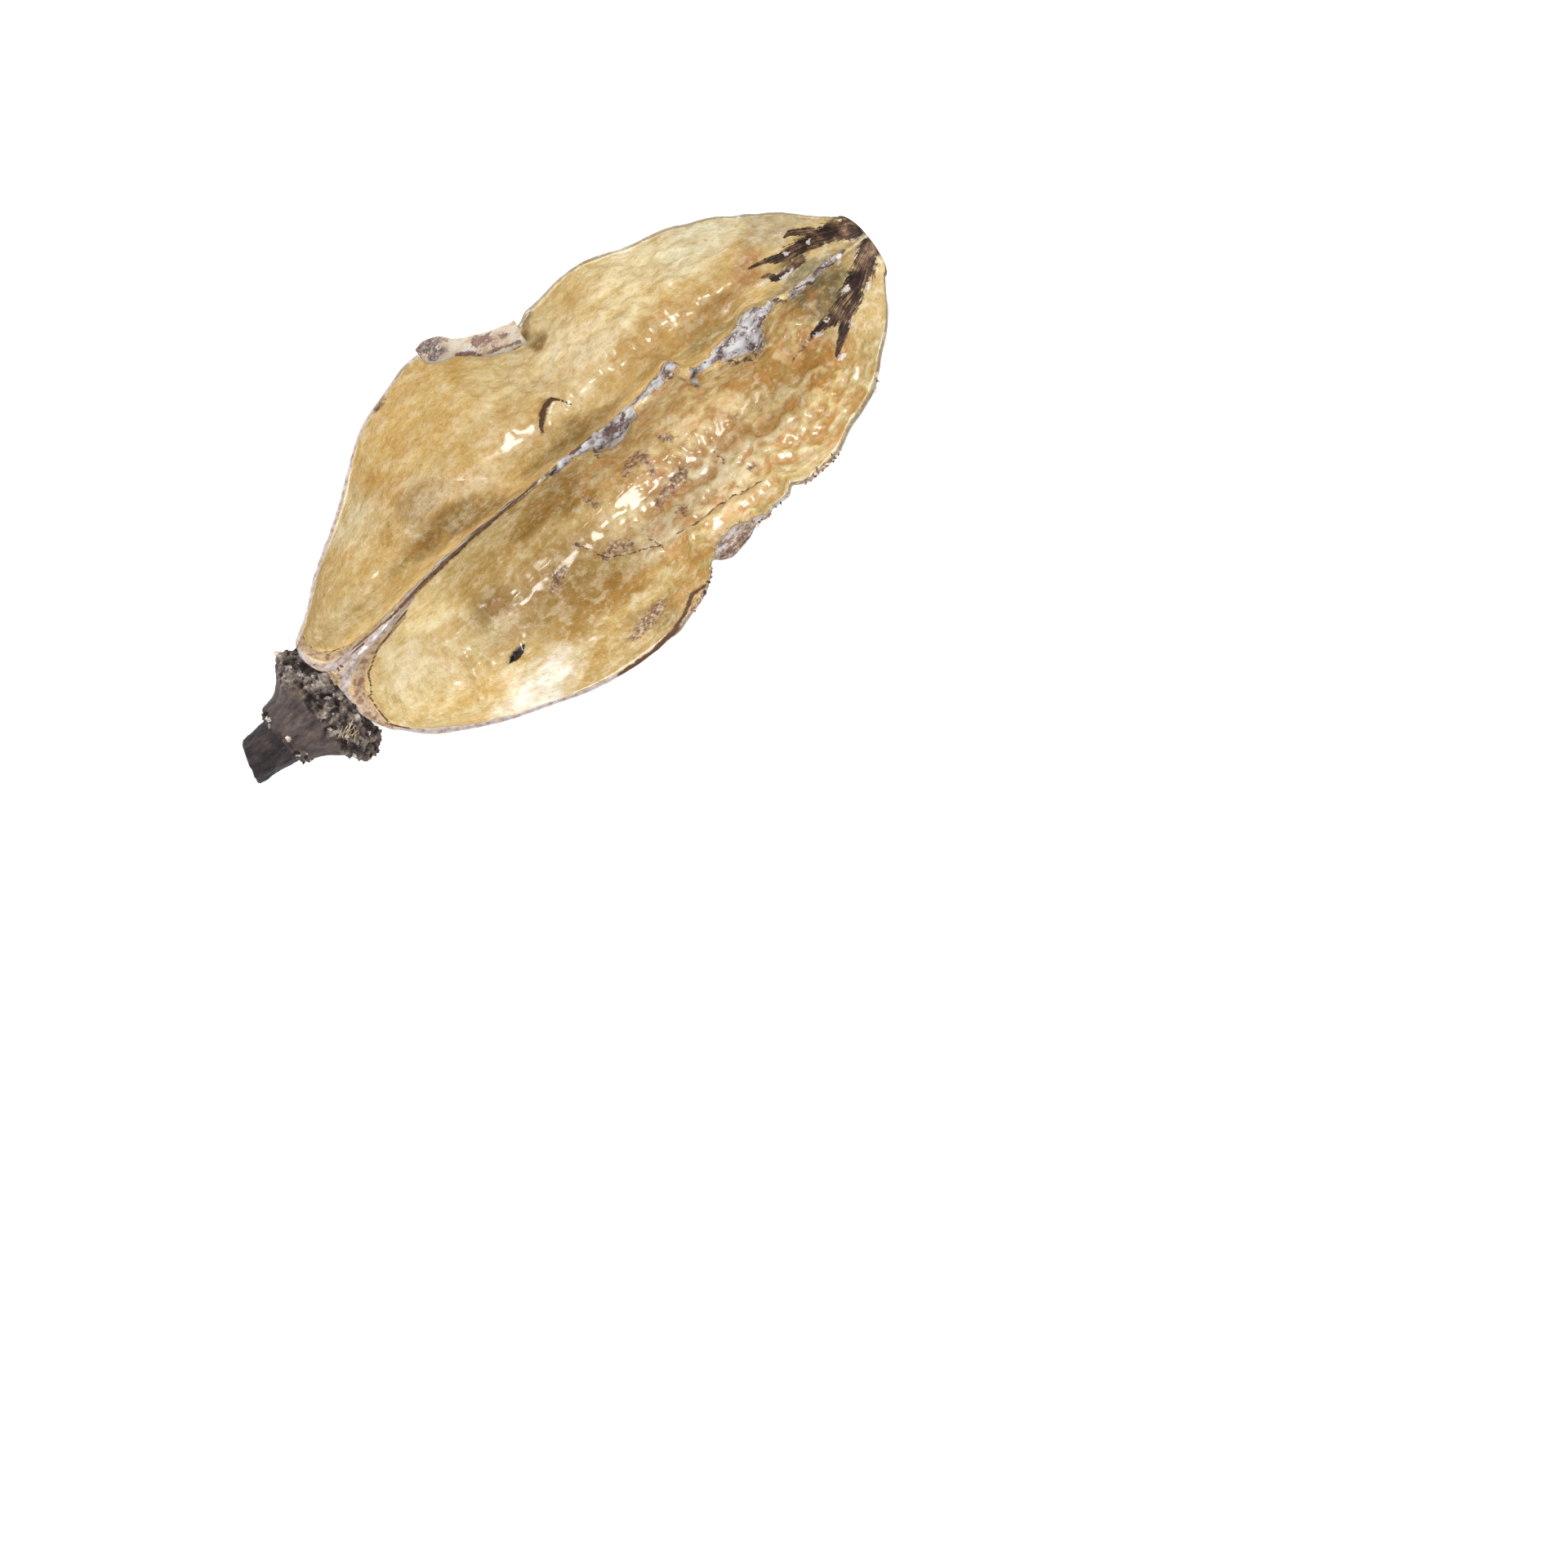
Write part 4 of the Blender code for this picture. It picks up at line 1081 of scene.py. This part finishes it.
stalk_shaped = stalk_grid + stalk_out * stalk_height[..., None]
stalk = grid_mesh("stalk_stub", stalk_shaped, (-11.2, -0.7, 5.5), (-7.0, -0.85, 5.35))


def stalk_material():
    r = Recipe("stalk_bark")
    grain = r.noise(0.8, 6, 0.65, (2.5, 1, 1))
    fine = r.noise(0.3, 5, 0.7, (1.4, 1, 1))
    colour = r.colours(grain, (0.3, (18, 14, 16)), (0.48, (36, 30, 32)), (0.6, (54, 43, 40)),
                       (0.74, (84, 68, 58)))
    specks = r.span(fine, 0.6, 0.7, 0, 0.7)
    colour = r.mix(specks, colour, light(110, 98, 92))
    normal = r.bump(fine, 0.18)
    normal = r.bump(grain, 0.3, normal)
    return r.finish(colour, 0.6, normal, 0.25)


stalk.data.materials.append(stalk_material())
print("stalk dressed")

# %% [markdown]
# ## The rolled strip
#
# A strip of the left edge has torn free and curled outward into a flat scroll. Its section is a
# spiral of a little over one turn, given a wall, and carried along the edge.

# %% Rolled strip
FLAP_PATH = [(26.9, 19.6, 12.9, .3), (27.5, 19.1, 12.9, .95), (28.6, 18.8, 12.95, 1.4),
             (30.0, 18.3, 12.95, 1.35), (31.0, 17.4, 12.9, 1.15), (33.0, 16.05, 12.85, 1.4),
             (35.0, 15.3, 12.75, 1.4), (36.5, 14.95, 12.6, 1.35)]


def scroll_grid():
    """Rings of a flattened scroll: outer skin out to its lip, inner skin back."""
    x = np.linspace(FLAP_PATH[0][0], FLAP_PATH[-1][0], 90)
    cy, cz, size = (curve([(p[0], p[k]) for p in FLAP_PATH], x)[:, None] for k in (1, 2, 3))
    turn = np.linspace(0, 1, 60)
    angle = -0.6 * np.pi + turn * 2.5 * np.pi
    radius = 1.0 - 0.42 * turn
    wall = 0.2
    ring_a = np.concatenate([angle, angle[::-1]])[None, :]
    ring_r = np.concatenate([radius, radius[::-1] - wall])[None, :]
    y = cy + size * 1.2 * ring_r * np.cos(ring_a)
    z = cz - 0.35 + size * 0.8 * ring_r * np.sin(ring_a)
    return np.stack([np.broadcast_to(x[:, None], y.shape), y, z], -1)


flap_grid = scroll_grid()
flap_out = normals(flap_grid)
flap_wave = 0.08 * layered(flap_grid, (2.0, 0.9, 0.9), 3, 81)
flap_ends = ramp(np.abs(flap_grid[..., 0] - 31.7), 4.3, 4.8)
flap_grid[..., 0] += (0.2 * noise(flap_grid, 0.7, 82) + 0.15 * (flap_grid[..., 1] - 15)) * flap_ends
flap_shaped = flap_grid + flap_out * flap_wave[..., None]
flap_values = {"stain": mask(flap_grid, [[(27.4, 19.7, .6), (28.4, 19.7, .95), (29.8, 19.5, .8)],
                                         [(28.2, 18.5, .4), (29.6, 18.3, .45)]]),
               "red": mask(flap_grid, [[(32.4, 17.1, .5), (33.3, 16.3, .85), (33.8, 15.8, .6)],
                                       [(34.2, 16.0, .45), (35.0, 15.7, .5)],
                                       [(30.2, 17.2, .15), (31.8, 16.1, .2)],
                                       [(31.6, 15.8, .14), (35.8, 14.3, .16)],
                                       [(31.4, 15.2, .14), (33.6, 14.1, .18), (35.5, 13.9, .15)]])}
a, b = flap_shaped[0].mean(0), flap_shaped[-1].mean(0)
flap = grid_mesh("rolled_strip", flap_shaped, a, b, values=flap_values)


def flap_material():
    r = Recipe("strip_husk")
    grain = r.noise(0.8, 5, 0.6, (2.4, 1, 1))
    fine = r.noise(0.4, 5, 0.75, (1.5, 1, 1))
    colour = r.colours(grain, (0.36, (148, 124, 98)), (0.47, (168, 152, 130)),
                       (0.60, (174, 170, 162)))
    ragged = r.times(r.add(r.add(fine, grain), -1.0), 2.4)
    red = r.span(r.add(r.attribute("red"), ragged), 0.44, 0.66)
    colour = r.mix(red, colour, r.colours(fine, (0.4, (78, 54, 46)), (0.6, (122, 90, 74))))
    edge = r.span(r.add(r.attribute("stain"), ragged), 0.40, 0.60)
    dark = r.colours(fine, (0.40, (48, 34, 30)), (0.5, (82, 66, 60)), (0.60, (140, 124, 114)))
    colour = r.mix(edge, colour, dark)
    normal = r.bump(grain, 0.14)
    normal = r.bump(fine, 0.06, normal)
    return r.finish(colour, 0.6, normal)


flap.data.materials.append(flap_material())
print("strip dressed")

# %% [markdown]
# ## Crumbs, flakes and fibres
#
# Rotten bark breaks into grains that cling to the calyx, and torn edges are fringed with flakes
# and threads. One small node tree does all three: it scatters points over a surface where a mask
# is strong, puts a tiny shape on each, turns and stretches it at random, and keeps a random
# shade per grain for the material. The result is turned into a plain mesh straight away.

# %% A scattering tree


def scatter_tree(name, dressing, thread):
    """Node tree that scatters grains, or threads, over a surface."""
    tree = bpy.data.node_groups.new(name, "GeometryNodeTree")
    sockets = {"Surface": "Geometry", "Where": "String", "Grains per square mm": "Float",
               "Smallest": "Vector", "Largest": "Vector", "Lean": "Vector", "Seed": "Int"}
    for label, kind in sockets.items():
        tree.interface.new_socket(label, in_out="INPUT", socket_type="NodeSocket" + kind)
    tree.interface.new_socket("Grains", in_out="OUTPUT", socket_type="NodeSocketGeometry")

    def node(kind, links=(), **settings):
        made = tree.nodes.new(kind)
        for key, value in settings.items():
            setattr(made, key, value)
        for source, target in links:
            tree.links.new(source, made.inputs[target])
        return made

    given = node("NodeGroupInput").outputs
    where = node("GeometryNodeInputNamedAttribute", [(given["Where"], "Name")])
    strong = node("ShaderNodeMapRange", [(where.outputs["Attribute"], "Value")])
    strong.inputs["From Min"].default_value = 0.45
    strong.inputs["From Max"].default_value = 0.75
    per_metre = node("ShaderNodeMath", [(given["Grains per square mm"], 0)], operation="MULTIPLY")
    per_metre.inputs[1].default_value = 1 / MM**2
    points = node("GeometryNodeDistributePointsOnFaces",
                  [(given["Surface"], "Mesh"), (given["Seed"], "Seed")],
                  distribute_method="RANDOM")
    often = node("ShaderNodeMath", [(per_metre.outputs[0], 0), (strong.outputs["Result"], 1)],
                 operation="MULTIPLY")
    tree.links.new(often.outputs[0], points.inputs["Density"])

    def shaken(shape, coarse, detail, distance):
        """The shape with its points pushed about by noise."""
        wave = node("ShaderNodeTexNoise")
        wave.inputs["Scale"].default_value = coarse
        wave.inputs["Detail"].default_value = detail
        off = node("ShaderNodeVectorMath", [(wave.outputs["Color"], 0)], operation="SUBTRACT")
        off.inputs[1].default_value = (0.5, 0.5, 0.5)
        push = node("ShaderNodeVectorMath", [(off.outputs[0], 0)], operation="SCALE")
        push.inputs["Scale"].default_value = distance
        return node("GeometryNodeSetPosition",
                    [(shape.outputs[0], "Geometry"), (push.outputs[0], "Offset")])

    if thread:
        line = node("GeometryNodeCurvePrimitiveLine")
        line.inputs["End"].default_value = (0, 0, MM)
        many = node("GeometryNodeResampleCurve", [(line.outputs[0], "Curve")])
        many.inputs["Count"].default_value = 8
        bent = shaken(many, 1400, 2, 1.8 * MM)
        section = node("GeometryNodeCurvePrimitiveCircle", mode="RADIUS")
        section.inputs["Resolution"].default_value = 4
        section.inputs["Radius"].default_value = 0.06 * MM
        shape = node("GeometryNodeCurveToMesh",
                     [(bent.outputs[0], "Curve"), (section.outputs[0], "Profile Curve")])
        shape.inputs["Fill Caps"].default_value = True
    else:
        ball = node("GeometryNodeMeshIcoSphere")
        ball.inputs["Radius"].default_value = MM
        ball.inputs["Subdivisions"].default_value = 2
        shape = shaken(ball, 1300, 1, 1.5 * MM)
    size = node("FunctionNodeRandomValue",
                [(given["Smallest"], "Min"), (given["Largest"], "Max"), (given["Seed"], "Seed")],
                data_type="FLOAT_VECTOR")
    spin = node("FunctionNodeRandomValue", [(given["Seed"], "Seed")], data_type="FLOAT_VECTOR")
    spin.inputs["Max"].default_value = (0.5, 0.5, 6.3) if thread else (6.3, 6.3, 6.3)
    lean = node("ShaderNodeVectorMath", [(points.outputs["Normal"], 0), (given["Lean"], 1)])
    stand = node("FunctionNodeAlignRotationToVector", [(lean.outputs[0], "Vector")], axis="Z")
    turned = node("FunctionNodeRotateRotation",
                  [(stand.outputs[0], "Rotation"), (spin.outputs["Value"], "Rotate By")],
                  rotation_space="LOCAL")
    placed = node("GeometryNodeInstanceOnPoints",
                  [(points.outputs["Points"], "Points"), (shape.outputs[0], "Instance"),
                   (turned.outputs[0], "Rotation"), (size.outputs["Value"], "Scale")])
    shade = node("FunctionNodeRandomValue", data_type="FLOAT")
    kept = node("GeometryNodeStoreNamedAttribute", [(placed.outputs[0], "Geometry")],
                data_type="FLOAT", domain="INSTANCE")
    kept.inputs["Name"].default_value = "shade"
    tree.links.new([o for o in shade.outputs if o.type == "VALUE"][0], kept.inputs["Value"])
    real = node("GeometryNodeRealizeInstances", [(kept.outputs[0], "Geometry")])
    final = node("GeometryNodeSetMaterial", [(real.outputs[0], "Geometry")])
    final.inputs["Material"].default_value = dressing
    node("NodeGroupOutput", [(final.outputs[0], "Grains")])
    return tree


def scatter(surface, name, dressing, thread=False, **inputs):
    """Runs the tree on a surface and returns the grains as a plain mesh object."""
    tree = scatter_tree(name, dressing, thread)
    carrier = surface.copy()
    bpy.context.scene.collection.objects.link(carrier)
    modifier = carrier.modifiers.new(name, "NODES")
    modifier.node_group = tree
    for item in tree.interface.items_tree:
        key = item.name.split()[0].lower()
        if item.in_out == "INPUT" and key in inputs:
            modifier[item.identifier] = inputs[key]
    graph = bpy.context.evaluated_depsgraph_get()
    mesh = bpy.data.meshes.new_from_object(carrier.evaluated_get(graph))
    bpy.data.objects.remove(carrier)
    mesh.name = name
    print(name, len(mesh.polygons), "faces")
    return placed(name, mesh)


def grain_material(name, *stops):
    """Dull grains, each with its own shade."""
    r = Recipe(name)
    fine = r.noise(0.3, 4, 0.7)
    shade = r.add(r.attribute("shade"), r.times(r.add(fine, -0.5), 0.9))
    return r.finish(r.colours(shade, *stops), 0.85, r.bump(fine, 0.06), 0.2)


# %% Scatter the grains
bark_grain = grain_material("bark_grain", (0.1, (30, 25, 24)), (0.4, (64, 56, 53)),
                            (0.7, (98, 88, 82)), (0.9, (140, 128, 118)),
                            (1.0, (196, 186, 172)))
pith_grain = grain_material("pith_grain", (0.15, (110, 96, 92)), (0.4, (152, 145, 143)),
                            (0.8, (184, 180, 180)))
edge_grain = grain_material("edge_grain", (0.2, (70, 52, 46)), (0.5, (136, 116, 100)),
                            (0.85, (206, 192, 172)))
thread_grain = grain_material("thread_grain", (0.1, (120, 96, 74)), (0.5, (168, 148, 120)),
                              (0.9, (206, 192, 168)))
crumbs = scatter(calyx, "calyx_crumbs", bark_grain, where="crumbly", grains=2.0,
                 smallest=(.12, .12, .12), largest=(.42, .36, .34), seed=3)
pith_crumbs = scatter(husk, "partition_crumbs", pith_grain, where="loose", grains=1.6,
                      smallest=(.06, .06, .05), largest=(.22, .18, .14), seed=5)
flakes = scatter(husk, "edge_flakes", edge_grain, where="flaky", grains=6.0,
                 smallest=(.06, .06, .06), largest=(.30, .22, .14), seed=8)
threads = scatter(calyx, "calyx_threads", thread_grain, True, where="tufted", grains=7.0,
                  smallest=(.5, .5, .5), largest=(.9, .9, 1.3), lean=(-1.6, -.5, 0), seed=4)

# %% [markdown]
# ## Where each piece belongs
#
# Each finished piece rides on the one body, root. The husk, the calyx and the stalk stand for
# nodes of the solid model, which are hidden.

# %% Attach the pieces
for piece, node, slot in ((husk, "capsule", "husk"), (flap, None, "husk"),
                          (calyx, "calyx", "calyx_wood"), (stalk, "stalk", "stalk_wood"),
                          (crumbs, None, "calyx_wood"), (threads, None, "calyx_wood"),
                          (pith_crumbs, None, "husk"), (flakes, None, "husk")):
    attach(piece, "root")
    if node:
        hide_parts(node)
print("pieces attached")

# %% [markdown]
# ## Floor, lights and camera
#
# The capsule lies on a pale floor. A soft light stands beyond its left edge and a wider one hangs
# above, so that the lining shines without hard shadows. A small one opposite picks out the bumps
# of the left wall. The camera looks straight down.

# %% Floor
FLOOR_HALF = 1.2     # metres
floor_mesh = bpy.data.meshes.new("floor")
corners = [(-1, -1), (1, -1), (1, 1), (-1, 1)]
floor_mesh.from_pydata([(i * FLOOR_HALF, j * FLOOR_HALF, 0) for i, j in corners], [], [(0, 1, 2, 3)])
floor = placed("floor", floor_mesh)
floor_material = bpy.data.materials.new("pale_floor")
floor_material.use_nodes = True
floor_shader = floor_material.node_tree.nodes["Principled BSDF"]
for socket, value in (("Base Color", (0.9, 0.9, 0.9, 1)), ("Roughness", 0.9),
                      ("Specular IOR Level", 0.1), ("Emission Color", (1, 1, 1, 1)),
                      ("Emission Strength", 0.35)):
    floor_shader.inputs[socket].default_value = value
floor.data.materials.append(floor_material)

# %% Lights
LIGHTS = [    # name, direction, distance and side in metres, watts
    ("key", (0.0, 1.0, 0.66), 0.5, 0.16, 1.9),
    ("overhead", (0.0, -0.12, 1.0), 0.7, 0.25, 3.7),
    ("glint", (0.05, -1.0, 0.85), 0.5, 0.06, 0.4)]
for name, direction, distance, side, power in LIGHTS:
    lamp = bpy.data.lights.new(name, "AREA")
    lamp.size = side
    lamp.energy = power
    stand = placed(name, lamp)
    way = Vector(direction).normalized()
    stand.location = way * distance
    stand.rotation_mode = "QUATERNION"
    stand.rotation_quaternion = way.to_track_quat("Z", "Y")
world = bpy.data.worlds.new("studio")
world.use_nodes = True
sky = world.node_tree.nodes["Background"].inputs
sky["Color"].default_value = (1, 1, 1, 1)
sky["Strength"].default_value = 0.58
bpy.context.scene.world = world
bpy.context.scene.view_settings.view_transform = "Standard"

# %% Camera
TURN = math.radians(38.8)
LENS, SENSOR = 100.0, 36.0
VIEW_WIDTH = 153.6                # millimetres across the view at the height of the rim
AIM = (28.9, -35.6, 12.0)         # fruit measures
camera_data = bpy.data.cameras.new("camera")
camera_data.lens = LENS
camera_data.sensor_width = SENSOR
camera = placed("camera", camera_data)
aim = to_frame(AIM)
camera.location = (aim[0], aim[1], aim[2] + VIEW_WIDTH * MM * LENS / SENSOR)
camera.rotation_euler = (0, 0, -TURN)
bpy.context.scene.camera = camera
print("camera height, mm:", round(camera.location.z / MM))
